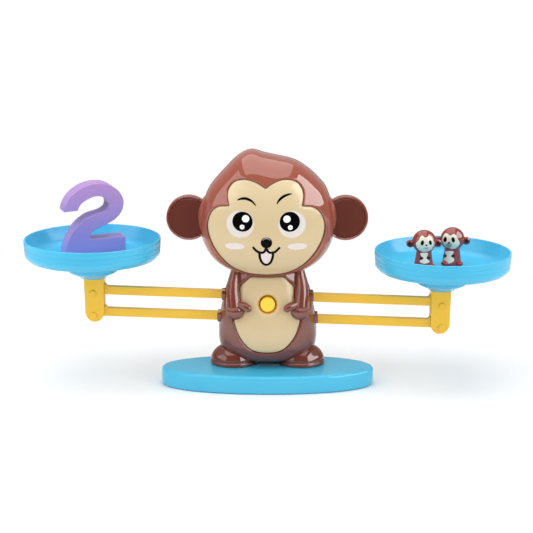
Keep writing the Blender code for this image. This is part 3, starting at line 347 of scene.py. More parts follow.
NUMERAL_HEIGHTS = [corner[2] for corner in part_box("numeral_weight")]
CREAM_LOW = (208, 186, 146)
# The brown is painted darker from the head down to the body: painted shade, as the body gets less light
# than the head.
BROWN = plastic("brown_plastic", (152, 84, 68), 0.01, (118, 58, 44), (0.072, 0.102), specular=1.0)
# The ear's dish is painted darker than its rim: painted shade and dark reflection in the hollow.
EAR_DISH_SHADE = plastic("ear_dish_painted_shade", (102, 52, 42), 0.05, specular=1.0)
EAR_RIM = plastic("ear_rim_plastic", (134, 68, 54), 0.02, specular=1.0)
# The cream is painted a little lighter on the face's upper lobes than lower down: painted light from above.
CREAM = plastic("cream_plastic", (214, 194, 156), 0.12, CREAM_LOW, (0.128, 0.150))
# Amber on the cream collar round the button: painted light, the yellow button's bounce.
COLLAR_BOUNCE_LIGHT = plastic("collar_painted_bounce_light", (222, 166, 92), 0.25)
BLUE = plastic("blue_plastic", (74, 184, 222), 0.05)
PAN_BLUE = plastic("pan_plastic", (72, 182, 222), 0.24, streak=0.22)
YELLOW = plastic("yellow_plastic", (243, 190, 48), 0.14)
BUTTON = plastic("button_plastic", (244, 208, 62), 0.16, drift=0.3)
PURPLE = plastic("purple_plastic", (172, 134, 196), 0.30, (138, 134, 206), NUMERAL_HEIGHTS)
RED_BROWN = plastic("red_brown_plastic", (140, 58, 54), 0.02, specular=1.0)
FOOT_RED = plastic("foot_red", (150, 40, 46), 0.08)
DARK_RED = plastic("dark_red", (60, 22, 24), 0.15)
STEEL = plastic("screw_steel", (170, 170, 172), 0.22)
feed(STEEL.node_tree, STEEL.node_tree.nodes["Principled BSDF"], {"Metallic": 1.0})
BLACK_INK = plastic("black_ink", (10, 6, 6), 0.30, specular=0.1)
WHITE_INK = plastic("white_ink", (252, 250, 246), 0.30)
CHEEK_INK = plastic("cheek_ink", (222, 212, 206), 0.20)
TONGUE_INK = plastic("tongue_ink", (226, 210, 208), 0.30)
GREY_INK = plastic("grey_ink", (150, 148, 148), 0.30)
PALE_INK = plastic("pale_ink", (230, 224, 204), 0.10)
print("finishes", len(bpy.data.materials))

# %% [markdown]
# The white round each eye has no edge. Its ink fades into the plate, by an attribute that runs from 0
# in the middle of the mark to 1 at its rim.

# %% Ink that fades at its rim
FADE_FROM, FADE_TO = 0.86, 0.98
HALO_INK = plastic("halo_ink", (218, 211, 206), 0.20)
tree = HALO_INK.node_tree
fade = add_node(tree, "Attribute", attribute_name="fade").outputs["Fac"]
edge = add_node(tree, "MapRange", {"Value": fade, "From Min": FADE_FROM, "From Max": FADE_TO})
blend = {"Factor": edge.outputs["Result"], 6: tree.nodes["Group"].outputs["Colour"], 7: screen(CREAM_LOW)}
blend = add_node(tree, "Mix", blend, data_type="RGBA")
feed(tree, tree.nodes["Principled BSDF"], {"Base Color": blend.outputs[2]})
print("halo ink", len(tree.nodes), "nodes")

# %% [markdown]
# ## Placing a piece
# Each new piece rides on the body of the node that it stands for, so it follows the joints. Its mesh
# is already in place, its object sits at the origin, and its normals are turned outwards once.

# %% Helpers that hand a piece over
SLOTS = {part["node"]: part["material_slot"] for part in frame["record"]["subparts"]}
BODIES = frame["record"]["behaviour"]["bodies"]
BODY_OF = {node: body for body, members in BODIES.items() for node in members}


def new_piece(name, bm, finish, sharp=35):
    """An object from a bmesh, shaded smooth between its sharp edges."""
    bmesh.ops.remove_doubles(bm, verts=bm.verts, dist=1e-7)
    bmesh.ops.recalc_face_normals(bm, faces=bm.faces)
    return shaded(new_object(name, bm, finish), sharp)


def shaded(piece, sharp):
    piece.data.shade_smooth()
    piece.data.set_sharp_from_angle(angle=math.radians(sharp))
    return piece


def stands_for(piece, node):
    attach(piece, BODY_OF[node])
    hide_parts(node)


def middle_of(node, end):
    """The middle of a node's box at its lower end, 0, or its upper end, 1."""
    low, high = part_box(node)
    return ((low[0] + high[0]) / 2, (low[1] + high[1]) / 2, (low, high)[end][2])


def even_shading(piece):
    """Lets broad faces keep their flat look, so that only the rounded edges turn the light."""
    piece.modifiers.new("even_shading", "WEIGHTED_NORMAL").keep_sharp = True
    return piece


# %% [markdown]
# ## The monkey's forms
# The head is an outline seen from the front, puffed towards the viewer. A smooth line through twenty
# points gives the outline, and a table of its distance from the centre gives the silhouette at any
# angle. The body is a column whose width and depth change with height.

# %% Smooth lines and their distance from a centre
def spline_point(a, b, c, d, t):
    """Catmull-Rom point between b and c."""
    return tuple(
        0.5 * (2 * q + (r - p) * t + (2 * p - 5 * q + 4 * r - s) * t * t + (3 * q - p - 3 * r + s) * t**3)
        for p, q, r, s in zip(a, b, c, d)
    )


def smooth_closed(points, steps):
    count = len(points)
    return [
        spline_point(points[i - 1], points[i], points[(i + 1) % count], points[(i + 2) % count], k / steps)
        for i in range(count)
        for k in range(steps)
    ]


def smooth_open(points, steps):
    padded = [points[0], *points, points[-1]]
    line = [
        spline_point(*padded[i : i + 4], k / steps) for i in range(len(points) - 1) for k in range(steps)
    ]
    return [*line, tuple(points[-1])]


def clamped(value):
    return min(max(value, 0.0), 1.0)


def reach_table(outline, centre):
    """A function from an angle to the outline's distance from the centre."""
    polar = sorted((math.atan2(z - centre[1], x - centre[0]), math.hypot(x - centre[0], z - centre[1]))
                   for x, z in outline)
    polar = [(polar[-1][0] - math.tau, polar[-1][1]), *polar, (polar[0][0] + math.tau, polar[0][1])]
    angles = [angle for angle, _ in polar]

    def reach(angle):
        angle = math.atan2(math.sin(angle), math.cos(angle))
        i = min(max(bisect.bisect_right(angles, angle), 1), len(polar) - 1)
        (a0, r0), (a1, r1) = polar[i - 1], polar[i]
        return r0 + (r1 - r0) * (angle - a0) / max(a1 - a0, 1e-12)

    return reach


def level_at(line, height):
    """The values at a height on a line of levels, each a height and its values."""
    i = min(max(bisect.bisect_right(line, height, key=lambda level: level[0]), 1), len(line) - 1)
    low, high = line[i - 1], line[i]
    share = clamped((height - low[0]) / (high[0] - low[0]))
    return [a + share * (b - a) for a, b in zip(low[1:], high[1:])]


def puff(share, power):
    """How far a puffed form stands out, from 1 at its centre to 0 at its rim."""
    return (1 - min(share, 1.0) ** power) ** (1 / power)


def squared(angle, power):
    """The cosine and sine of an angle, for a circle swollen towards the corners of a square."""
    c, s = math.cos(angle), math.sin(angle)
    return math.copysign(abs(c) ** (2 / power), c), math.copysign(abs(s) ** (2 / power), s)


print("a square swollen to the power 2.3 reaches", round(squared(math.pi / 4, 2.3)[0], 3))

# %% The head's silhouette and surface
HEAD_CENTRE = (-0.0004, 0.1236)
HEAD_FRONT = 0.0320
HEAD_BACK = 0.0270
HEAD_POWER = 2.8
HEAD_OUTLINE = (
    (-0.0115, 0.1734), (-0.0030, 0.1712), (0.0070, 0.1690), (0.0150, 0.1674), (0.0218, 0.1648),
    (0.0286, 0.1604), (0.0365, 0.1533), (0.0434, 0.1440), (0.0478, 0.1250), (0.0466, 0.1073),
    (0.0375, 0.0932), (0.0215, 0.0840), (-0.0010, 0.0811), (-0.0225, 0.0840), (-0.0385, 0.0932),
    (-0.0474, 0.1081), (-0.0484, 0.1255), (-0.0431, 0.1449), (-0.0284, 0.1626), (-0.0194, 0.1706),
)
CREST_SOFTNESS = math.radians(14)
NEAR_RIM = 0.80
head_reach = reach_table(smooth_closed(HEAD_OUTLINE, 20), HEAD_CENTRE)


def averaged(reach, spread, count=10):
    """A reach smoothed over an angle to each side."""
    shares = [k / count for k in range(-count, count + 1)]
    weights = [math.cos(math.pi / 2 * share) ** 2 for share in shares]

    def smooth(angle):
        return sum(w * reach(angle + spread * share) for w, share in zip(weights, shares)) / sum(weights)

    return smooth


soft_table = averaged(head_reach, CREST_SOFTNESS)
soft_polar = [(math.tau * k / 360, soft_table(math.tau * k / 360)) for k in range(360)]
head_soft = reach_table([(math.cos(a) * away, math.sin(a) * away) for a, away in soft_polar], (0.0, 0.0))


def head_share(x, z):
    """0 at the middle of the head, 1 on its silhouette, whose crest softens away inwards."""
    dx, dz = x - HEAD_CENTRE[0], z - HEAD_CENTRE[1]
    angle = math.atan2(dz, dx)
    sharp = math.hypot(dx, dz) / head_reach(angle)
    soft = math.hypot(dx, dz) / head_soft(angle)
    near_rim = clamped((sharp - NEAR_RIM) / (1 - NEAR_RIM))
    return soft + (sharp - soft) * near_rim**2 * (3 - 2 * near_rim)


def head_front(x, z):
    return -HEAD_FRONT * puff(head_share(x, z), HEAD_POWER)


def head_back(x, z):
    return HEAD_BACK * puff(head_share(x, z), HEAD_POWER)


print("head front at its middle", round(head_front(*HEAD_CENTRE), 4))

# %% The body's levels and surface
UPPER_PIVOT_Z, LOWER_PIVOT_Z = 0.0628, 0.0463
PIVOT = (0.0, UPPER_PIVOT_Z)
BODY_POWER = 2.2
BODY_TOP = 0.094
BODY_LEVELS = (  # height, half width, front depth, back depth
    (0.0158, 0.0100, 0.0070, 0.0070),
    (0.0168, 0.0185, 0.0125, 0.0115),
    (0.0205, 0.0270, 0.0180, 0.0160),
    (0.0270, 0.0344, 0.0217, 0.0190),
    (0.0330, 0.0360, 0.0230, 0.0200),
    (0.0395, 0.0362, 0.0234, 0.0205),
    (0.0520, 0.0350, 0.0224, 0.0200),
    (0.0618, 0.0331, 0.0207, 0.0190),
    (0.0710, 0.0309, 0.0188, 0.0175),
    (0.0850, 0.0268, 0.0160, 0.0155),
    (BODY_TOP, 0.0245, 0.0140, 0.0140),
)
BODY_LINE = smooth_open(BODY_LEVELS, 16)


def body_front(x, z):
    half_width, front, _ = level_at(BODY_LINE, z)
    return -front * puff(abs(x) / half_width, BODY_POWER)


def body_back(x, z):
    half_width, _, back = level_at(BODY_LINE, z)
    return back * puff(abs(x) / half_width, BODY_POWER)


body_outline = [(width, z) for z, width, _, _ in BODY_LINE]
body_outline += [(-width, z) for z, width, _, _ in reversed(BODY_LINE)]
print("body front at the pivot", round(body_front(*PIVOT), 4))

# %% [markdown]
# ## Sheets spun from a line
# A spun disc has rings and spokes. Each of its rings is then moved to where a form needs it: round a
# pocket, down its wall, out over the surface and back to the parting line. That keeps the shading
# clean round every edge, which a Boolean cut in glossy plastic would not.

# %% Disc, lathe and ball
def spun(points, axis, steps):
    """A line of points, spun a full turn about an axis through the origin."""
    bm = bmesh.new()
    line = [bm.verts.new(point) for point in points]
    edges = [bm.edges.new(pair) for pair in zip(line, line[1:])]
    turn = {"axis": axis, "angle": math.tau, "steps": steps, "use_merge": True}
    bmesh.ops.spin(bm, geom=[*line, *edges], cent=(0, 0, 0), dvec=(0, 0, 0), **turn)
    return bm


def spun_sheet(rings, spokes):
    """A disc whose rings are moved. Each ring is a function from an angle to a point."""
    bm = spun([(float(i), 0.0, 0.0) for i in range(len(rings))], (0, -1, 0), spokes)
    bmesh.ops.remove_doubles(bm, verts=bm.verts, dist=1e-4)
    fade = bm.verts.layers.float.new("fade")
    for vert in bm.verts:
        number = round(math.hypot(vert.co.x, vert.co.z))
        vert[fade] = number / (len(rings) - 1)
        vert.co = rings[number](math.atan2(vert.co.z, vert.co.x))
    return bm


def ring(centre, reach, lay, stretch=(1.0, 1.0)):
    """A ring at a reach from a centre. lay gives the point for two flat coordinates."""

    def point(angle):
        away = reach(angle)
        u = centre[0] + stretch[0] * away * math.cos(angle)
        v = centre[1] + stretch[1] * away * math.sin(angle)
        return lay(u, v)

    return point


def filled(centre, reach, lay, count, stretch=(1.0, 1.0)):
    """Evenly spaced rings from a centre out to its reach."""
    return [ring(centre, lambda a, s=k / count: reach(a) * s, lay, stretch) for k in range(count + 1)]


def placed(bm, place, angle, axis):
    """Turns a form about an axis through the origin, then moves it to its place."""
    bmesh.ops.rotate(bm, verts=bm.verts, cent=(0, 0, 0), matrix=Matrix.Rotation(angle, 3, axis))
    bmesh.ops.translate(bm, verts=bm.verts, vec=place)
    return bm


def lathe(profile, centre, axis="Y", steps=96):
    """A profile of radius and place along the axis, spun into a closed turned form."""
    bm = spun([(radius, 0.0, height) for radius, height in profile], (0, 0, 1), steps)
    bmesh.ops.remove_doubles(bm, verts=bm.verts, dist=1e-7)
    return placed(bm, centre, -math.pi / 2 if axis == "Y" else 0.0, "X")


def ball(centre, radii, segments=40, rings=20, yaw=0.0):
    """A ball stretched by its radii and turned about its upright axis."""
    bm = bmesh.new()
    bmesh.ops.create_uvsphere(bm, u_segments=segments, v_segments=rings, radius=1.0)
    bmesh.ops.scale(bm, verts=bm.verts, vec=radii)
    return placed(bm, centre, yaw, "Z")


unit_ring = ring((0.0, 0.0), lambda a: 1.0, lambda x, z: (x, 0.0, z))
print("a unit ring at a quarter turn:", [round(v, 3) for v in unit_ring(math.pi / 2)])

# %% Joining, halving and limbs
SPLIT_GAP = 0.00015
DOME = [math.radians(a) for a in (80, 60, 40, 20, 0)]


def join_into(bm, other):
    """Adds another bmesh to the first, by way of a mesh."""
    mesh = bpy.data.meshes.new("part")
    other.to_mesh(mesh)
    other.free()
    bm.from_mesh(mesh)
    bpy.data.meshes.remove(mesh)


def keep_half(bm, side):
    """Cuts a closed form at the parting plane and closes it again. side is -1 for the front."""
    plane = {"plane_co": (0, side * SPLIT_GAP, 0), "plane_no": (0, -side, 0), "clear_outer": True}
    bmesh.ops.bisect_plane(bm, geom=[*bm.verts, *bm.edges, *bm.faces], **plane)
    bmesh.ops.holes_fill(bm, edges=[edge for edge in bm.edges if edge.is_boundary], sides=0)
    return bm


def ring_unit(vert, station):
    """A vertex's place on its ring, as the sine and cosine of its turn."""
    middle, across, up, radius = station
    offset = (vert.co - middle) / radius
    return offset.dot(across), offset.dot(up)


def limb(path, side):
    """A tube lofted along points with radii by extruding a circle, closed by a dome at each end."""
    line = smooth_open([(side * x, y, z, radius) for x, y, z, radius in path], 8)
    points = [Vector(p[:3]) for p in line]
    last = len(line) - 1
    stations = []
    for i, (point, (*_, radius)) in enumerate(zip(points, line)):
        along = (points[min(i + 1, last)] - points[max(i - 1, 0)]).normalized()
        end = {0: -1, last: 1}.get(i, 0)
        angles = DOME[::-end] if end else (0.0,)
        reach = along * end * radius
        stations += [(point + reach * math.sin(a), along, radius * math.cos(a)) for a in angles]
    frames = []
    for middle, along, radius in stations:
        across = along.cross(Vector((0, 1, 0))).normalized()
        frames.append((middle, across, across.cross(along), radius))
    bm = bmesh.new()
    loop = bmesh.ops.create_circle(bm, segments=32, radius=1.0)["verts"]
    edges = list({edge for vert in loop for edge in vert.link_edges})
    for i, (middle, across, up, radius) in enumerate(frames):
        if i:
            made = bmesh.ops.extrude_edge_only(bm, edges=edges)["geom"]
            loop = [item for item in made if isinstance(item, bmesh.types.BMVert)]
            edges = [item for item in made if isinstance(item, bmesh.types.BMEdge) and item.is_boundary]
        for vert in loop:
            u, v = ring_unit(vert, frames[i - 1]) if i else (vert.co.x, vert.co.y)
            vert.co = middle + (across * u + up * v) * radius
    bmesh.ops.holes_fill(bm, edges=[edge for edge in bm.edges if edge.is_boundary], sides=0)
    return bm


print("dome stations", len(DOME))

# %% [markdown]
# ## Casing, front half
# The casing is moulded in two halves that meet at the widest line. The front half has the pockets for
# the two cream plates, half of each foot and ear seat, and the arms, all in one moulding.

# %% Outlines of the two cream plates
FACE_MIDDLE, BELLY_MIDDLE = -0.0012, -0.0005
FACE_LEAN, LEAN_FROM, LEAN_TO = 0.0005, 0.128, 0.138
FACE_LOBE = (
    (0.0000, 0.1502), (0.0060, 0.1539), (0.0132, 0.1560), (0.0205, 0.1549), (0.0253, 0.1507),
    (0.0271, 0.1448), (0.0259, 0.1375),
)
FACE_CHEEK = (
    (0.0259, 0.1375), (0.0335, 0.1364), (0.0390, 0.1315), (0.0418, 0.1235), (0.0411, 0.1155),
    (0.0372, 0.1062), (0.0312, 0.0976), (0.0230, 0.0904), (0.0127, 0.0859), (0.0000, 0.0845),
)
BELLY_SIDE = (
    (0.0000, 0.0825), (0.0105, 0.0825), (0.0128, 0.0818), (0.0160, 0.0788), (0.0190, 0.0758),
    (0.0199, 0.0735), (0.0199, 0.0665), (0.0212, 0.0600), (0.0236, 0.0540), (0.0243, 0.0500),
    (0.0233, 0.0458), (0.0209, 0.0395), (0.0169, 0.0335), (0.0121, 0.0290), (0.0064, 0.0268),
    (0.0000, 0.0263),
)


def mirrored(side, middle_x):
    left = [(-x, z) for x, z in reversed(side[1:-1])]
    return [(x + middle_x, z) for x, z in [*side, *left]]


def leaned(x, z):
    """The two lobes stand a little to the left of the cheeks."""
    return x - FACE_LEAN * clamped((z - LEAN_FROM) / (LEAN_TO - LEAN_FROM)), z


face_side = [*smooth_open(FACE_LOBE, 10)[:-1], *smooth_open(FACE_CHEEK, 10)]
FACE_OUTLINE = [leaned(x, z) for x, z in mirrored(face_side, FACE_MIDDLE)]
BELLY_OUTLINE = mirrored(smooth_open(BELLY_SIDE, 10), BELLY_MIDDLE)
HOLE_RADIUS = 0.00725
face_reach = reach_table(FACE_OUTLINE, HEAD_CENTRE)
belly_reach = reach_table(BELLY_OUTLINE, PIVOT)
body_reach = reach_table(body_outline, PIVOT)
print("outline points", len(FACE_OUTLINE), len(BELLY_OUTLINE))

# %% A moulded wall with a pocket, from the centre out to the parting line
WALL = 0.0022
POCKET_DEPTH = 0.0024
POCKET_RIM = 0.0016
POCKET_WALL = (
    (0.0003, POCKET_DEPTH), (0.0003, 0.00085), (0.0004, 0.00070), (0.0007, 0.00040),
    (0.0010, 0.00014), (0.0013, 0.00003), (POCKET_RIM, 0.0),
)
POCKET_SHARES = (0.0, 0.3, 0.6, 0.9)
FRONT_SPOKES, REAR_SPOKES = 224, 192
PARTING = 0.00005
BEAM_SLOT_HALF = 0.0030
BEAM_SLOT = (0.0401, 0.0728)
BEAM_SLOT_FROM = 0.02


def at(centre, surface, reach, offset):
    """A ring at a reach from the centre, at an offset in y behind the surface."""
    return ring(centre, reach, lambda x, z: (x, surface(x, z) + offset, z))


def outer_rings(centre, surface, inner, outer, side, count=20, slotted=False):
    """Rings from an inner reach to the silhouette, closer together near the rim, then the rim itself."""

    def reach(t):
        def away(angle):
            low = math.asin(min(inner(angle) / outer(angle), 0.999)) if inner else 0.0
            return outer(angle) * math.sin(low + (math.pi / 2 - low) * t)

        return away

    def clear(x, z):
        """How far the wall stays from the parting plane: further where the beams come out."""
        at_beams = slotted and BEAM_SLOT[0] < z < BEAM_SLOT[1] and abs(x) > BEAM_SLOT_FROM
        return BEAM_SLOT_HALF if at_beams else PARTING

    def wall(x, z):
        return (x, side * max(side * surface(x, z), clear(x, z)), z)

    rings = [ring(centre, reach(k / count), wall) for k in range(1, count + 1)]
    return [*rings, ring(centre, reach(1.0), lambda x, z: (x, side * clear(x, z), z))]


def pocket_rings(centre, surface, reach, floor_shares):
    """The floor of a pocket, its wall and its rounded edge."""
    rings = [at(centre, surface, lambda a, s=share: reach(a) * s, POCKET_DEPTH) for share in floor_shares]
    for grow, offset in POCKET_WALL:
        rings.append(at(centre, surface, lambda a, g=grow: reach(a) + g, offset))
    return rings


def with_pocket(rings, centre, surface, reach, outer, slotted=False):
    """The sheet of a front wall, from the rings inside its pocket to the parting line."""
    rim = outer_rings(centre, surface, lambda a: reach(a) + POCKET_RIM, outer, -1, slotted=slotted)
    return spun_sheet([*rings, *rim], FRONT_SPOKES)


head_rings = pocket_rings(HEAD_CENTRE, head_front, face_reach, POCKET_SHARES)
head_sheet = with_pocket(head_rings, HEAD_CENTRE, head_front, face_reach, head_reach)
print("head front", len(head_sheet.verts), "vertices")

# %% The front of the body, with the belly pocket and the pivot's counterbore
BORE_FLOOR = -0.0145
BORE_ROUND = 0.0002


def bore_ring(radius, y):
    return ring(PIVOT, lambda a: radius, lambda x, z: (x, y, z))


def belly_share(share):
    """A reach between the pivot's hole and the belly's outline."""
    return lambda a: HOLE_RADIUS + (belly_reach(a) - HOLE_RADIUS) * share


body_rings = [
    bore_ring(0.0, BORE_FLOOR),
    bore_ring(HOLE_RADIUS - BORE_ROUND, BORE_FLOOR),
    bore_ring(HOLE_RADIUS, BORE_FLOOR - BORE_ROUND),
    *[at(PIVOT, body_front, belly_share(share), POCKET_DEPTH) for share in POCKET_SHARES],
    *pocket_rings(PIVOT, body_front, belly_reach, ()),
]
body_sheet = with_pocket(body_rings, PIVOT, body_front, belly_reach, body_reach, slotted=True)
print("body front", len(body_sheet.verts), "vertices")

# %% Feet and ear seats
BASE_TOP = 0.0133
GAP = 0.0003
FOOT_PLACE = (0.0252, -0.0015)
FOOT_RADII = (0.0174, 0.0150, 0.0148)
FOOT_POWER = 2.3
WALL_RISE, WALL_TUCK, WALL_BOTTOM = 0.12, 0.07, -0.3
SOLE_REACH, BALL_WIDTH_THERE = 0.93, 0.954
CREASE_HEIGHT, CREASE_WIDTH, CREASE_DEPTH = 0.22, 0.045, 0.05
SEAT_PLACE = (0.0413, 0.0, 0.1246)
SEAT_RADII = (0.0094, 0.0130, 0.0162)


def foot_level(vert):
    """A ball's vertex pressed into a foot: its share of the foot's height, and its reach."""
    width, z = math.hypot(vert.co.x, vert.co.y), vert.co.z
    if z >= 0:
        rise = WALL_RISE + (1 - WALL_RISE) * z
        reach = puff(rise, FOOT_POWER)
    elif z > WALL_BOTTOM:
        rise = WALL_RISE * (1 - z / WALL_BOTTOM)
        reach = SOLE_REACH + WALL_TUCK * (1 + z)
    else:
        rise, reach = 0.0, SOLE_REACH * width / BALL_WIDTH_THERE
    return rise, reach, width


def foot(side):
    """A ball pressed flat below, its top a little fuller than a sphere, with a crease over the sole."""
    bm = bmesh.new()
    bmesh.ops.create_uvsphere(bm, u_segments=72, v_segments=120, radius=1.0)
    for vert in bm.verts:
        rise, reach, width = foot_level(vert)
        reach *= 1 - CREASE_DEPTH * math.exp(-(((rise - CREASE_HEIGHT) / CREASE_WIDTH) ** 2))
        scale = reach / width if width > 1e-6 else 0.0
        vert.co.x = side * FOOT_PLACE[0] + FOOT_RADII[0] * vert.co.x * scale
        vert.co.y = FOOT_PLACE[1] + FOOT_RADII[1] * vert.co.y * scale
        vert.co.z = BASE_TOP + GAP + FOOT_RADII[2] * rise
    return bm


def ear_seat(side):
    x, y, z = SEAT_PLACE
    return ball((HEAD_CENTRE[0] + side * x, y, z), SEAT_RADII, 48, 32)


print("foot reaches up to", round(BASE_TOP + GAP + FOOT_RADII[2], 4))

# %% Arms, hands and thumbs
ARM_PATH = (  # x, y, z, radius
    (0.0232, -0.0085, 0.0900, 0.0026), (0.0238, -0.0115, 0.0830, 0.0031),
    (0.0250, -0.0140, 0.0750, 0.0043), (0.0250, -0.0155, 0.0680, 0.0052),
    (0.0244, -0.0168, 0.0605, 0.0060),
)
BLOCK_REACHES = {UPPER_PIVOT_Z: 0.0339, LOWER_PIVOT_Z: 0.0372}
BLOCK_ROOT, BLOCK_DEPTH, BLOCK_HEIGHT = 0.029, 0.0021, 0.0072
BLOCK_RISE, BLOCK_LEAN, BLOCK_ROUND = 0.0023, 0.0006, 0.0009
HAND_CENTRE = (0.0235, -0.0178, 0.0572)
HAND_RADII = (0.0068, 0.0048, 0.0062)
THUMB_PATH = (  # x, y, z, radius
    (0.0200, -0.0196, 0.0628, 0.0027),
    (0.0165, -0.0214, 0.0618, 0.0030),
    (0.0140, -0.0224, 0.0606, 0.0027),
)


def hand(side):
    x, y, z = HAND_CENTRE
    return ball((side * x, y, z), HAND_RADII, 40, 24)


def guide_blocks(side_y):
    """Small blocks beside each beam's way out of the casing. They lean with the beams."""
    bm = bmesh.new()
    for side in (-1, 1):
        for pivot_z, reach in BLOCK_REACHES.items():
            made = bmesh.ops.create_cube(bm, size=1.0)["verts"]
            bmesh.ops.scale(bm, verts=made, vec=(reach - BLOCK_ROOT, BLOCK_DEPTH, BLOCK_HEIGHT))
            z = pivot_z + BLOCK_RISE - side * BLOCK_LEAN
            middle = (side * (reach + BLOCK_ROOT) / 2, side_y * (BEAM_SLOT_HALF + BLOCK_DEPTH / 2), z)
            bmesh.ops.translate(bm, verts=made, vec=middle)
    round_edges(bm, bm.edges[:], BLOCK_ROUND, 4)
    return bm


def round_edges(bm, edges, width, segments):
    shape = {"offset": width, "segments": segments, "profile": 0.5, "affect": "EDGES"}
    bmesh.ops.bevel(bm, geom=edges, **shape, material=-1, clamp_overlap=True)


print("arm stations", len(ARM_PATH))

# %% The front casing, from its sheets and forms
def faces_out(bm, side):
    """Turns a sheet so that its faces look towards the side."""
    bmesh.ops.remove_doubles(bm, verts=bm.verts, dist=1e-7)
    bmesh.ops.recalc_face_normals(bm, faces=bm.faces)
    total = sum(face.normal.y * face.calc_area() for face in bm.faces)
    if total * side < 0:
        bmesh.ops.reverse_faces(bm, faces=bm.faces)
    return bm


def sheet_piece(name, bm, side):
    """A wall of the casing, from a sheet that gets its thickness inwards."""
    piece = shaded(new_object(name, faces_out(bm, side), BROWN), 40)
    solidify = piece.modifiers.new("wall", "SOLIDIFY")
    solidify.thickness = WALL
    solidify.offset = -1.0
    return piece


SIDES = ((-1, "left"), (1, "right"))


def foot_and_seat(side, word, side_y, half):
    """One half of a foot and of an ear seat."""
    for form, bm in (("foot", foot(side)), ("ear_seat", ear_seat(side))):
        stands_for(new_piece(f"{word}_{form}_{half}", keep_half(bm, side_y), BROWN, 50), f"{half}_shell")


stands_for(sheet_piece("casing_head_front", head_sheet, -1), "front_shell")
stands_for(sheet_piece("casing_body_front", body_sheet, -1), "front_shell")
for side, word in SIDES:
    foot_and_seat(side, word, -1, "front")
    limbs = {"arm": limb(ARM_PATH, side), "hand": hand(side), "thumb": limb(THUMB_PATH, side)}
    for form, bm in limbs.items():
        stands_for(new_piece(f"{word}_{form}", bm, BROWN, 60), "front_shell")
stands_for(new_piece("guide_blocks_front", guide_blocks(-1), BROWN), "front_shell")
print("front casing made")

# %% [markdown]
# ## Casing, rear half
# The back has no pockets. Four deep round wells hold the screws that pull the halves together.

# %% The rear casing
WELL_PAIRS = ((0.0220, 0.1450, 0.0175), (0.0210, 0.0310, 0.0110))  # x, z, y of the seat
SCREW_WELLS = [(side * x, z, seat) for x, z, seat in WELL_PAIRS for side, _ in SIDES]
WELL_RADIUS = 0.0029
WELL_CUTTER = ((0.0, -0.001), (WELL_RADIUS, -0.001), (WELL_RADIUS, 0.05), (0.0, 0.05))


def with_wells(piece, wells):
    """Cuts the screw wells, applies the result and removes the cutter."""
    bm = bmesh.new()
    for x, z, _ in wells:
        join_into(bm, lathe(WELL_CUTTER, (x, 0, z), steps=48))
    cutter = new_piece(piece.name + "_cutter", bm, BROWN)
    modifier = piece.modifiers.new("wells", "BOOLEAN")
    modifier.operation = "DIFFERENCE"
    modifier.object = cutter
    bpy.context.view_layer.update()
    shaped = piece.evaluated_get(bpy.context.evaluated_depsgraph_get())
    mesh = bpy.data.meshes.new_from_object(shaped)
    piece.modifiers.clear()
    piece.data = mesh
    bpy.data.objects.remove(cutter, do_unlink=True)
    return piece


def rear_wall(name, centre, surface, outer, wells, slotted=False):
    """A wall of the rear casing, from its middle to the parting line, with its screw wells."""
    pole = at(centre, surface, lambda a: 0.0, 0.0)
    sheet = spun_sheet([pole, *outer_rings(centre, surface, None, outer, 1, 28, slotted)], REAR_SPOKES)
    stands_for(with_wells(sheet_piece(name, sheet, 1), wells), "rear_shell")


rear_wall("casing_head_rear", HEAD_CENTRE, head_back, head_reach, SCREW_WELLS[:2])
rear_wall("casing_body_rear", PIVOT, body_back, body_reach, SCREW_WELLS[2:], slotted=True)
for side, word in SIDES:
    foot_and_seat(side, word, 1, "rear")
stands_for(new_piece("guide_blocks_rear", guide_blocks(1), BROWN), "rear_shell")
print("rear casing made")

# %% Tubes round the screws
SHANK_BORE = 0.0015
TUBE_RADIUS, TUBE_START, TUBE_PAST_SEAT = 0.0042, 0.0006, 0.0025


def screw_tube(start, seat, end, radius, place, axis="Y"):
    """Narrow from its start to the seat of the screw's head, and as wide as the head from there."""
    profile = (
        (SHANK_BORE, start),
        (radius, start),
        (radius, end),
        (WELL_RADIUS, end),
        (WELL_RADIUS, seat),
        (SHANK_BORE, seat),
        (SHANK_BORE, start),
    )
    return lathe(profile, place, axis, 48)


tubes = bmesh.new()
for x, z, seat in SCREW_WELLS:
    join_into(tubes, screw_tube(TUBE_START, seat, seat + TUBE_PAST_SEAT, TUBE_RADIUS, (x, 0, z)))
stands_for(new_piece("screw_tubes", tubes, BROWN), "rear_shell")
print("screw tubes", len(SCREW_WELLS))

# %% [markdown]
# ## Cream plates
# Each plate lies in its pocket, half a millimetre below the brown, with a rounded edge that catches
# the light as a thin line.

# %% Face plate
PLATE_SINK = 0.0005
PLATE_RINGS = 14
PLATE_EDGE = (
    (0.0017, 0.0), (0.0013, 0.00006), (0.0009, 0.00020), (0.0006, 0.00042), (0.0004, 0.0007),
    (0.0003, 0.0011), (0.0003, 0.0016),
)


def plate_rings(centre, surface, reach, shares, low=0.0):
    """The plate's face, ring by ring, and its rounded edge. low is the reach of a hole, or zero."""

    def inner(share):
        return lambda a: low + (reach(a) - PLATE_EDGE[0][0] - low) * share

    rings = [at(centre, surface, inner(share), PLATE_SINK) for share in shares]
    for back, drop in PLATE_EDGE:
        rings.append(at(centre, surface, lambda a, b=back: reach(a) - b, PLATE_SINK + drop))
    return rings


shares = [k / PLATE_RINGS for k in range(PLATE_RINGS)]
face_sheet = spun_sheet(plate_rings(HEAD_CENTRE, head_front, face_reach, shares), FRONT_SPOKES)
stands_for(new_piece("face_plate_shown", faces_out(face_sheet, -1), CREAM, 60), "face_plate")
print("face plate", PLATE_RINGS, "rings")

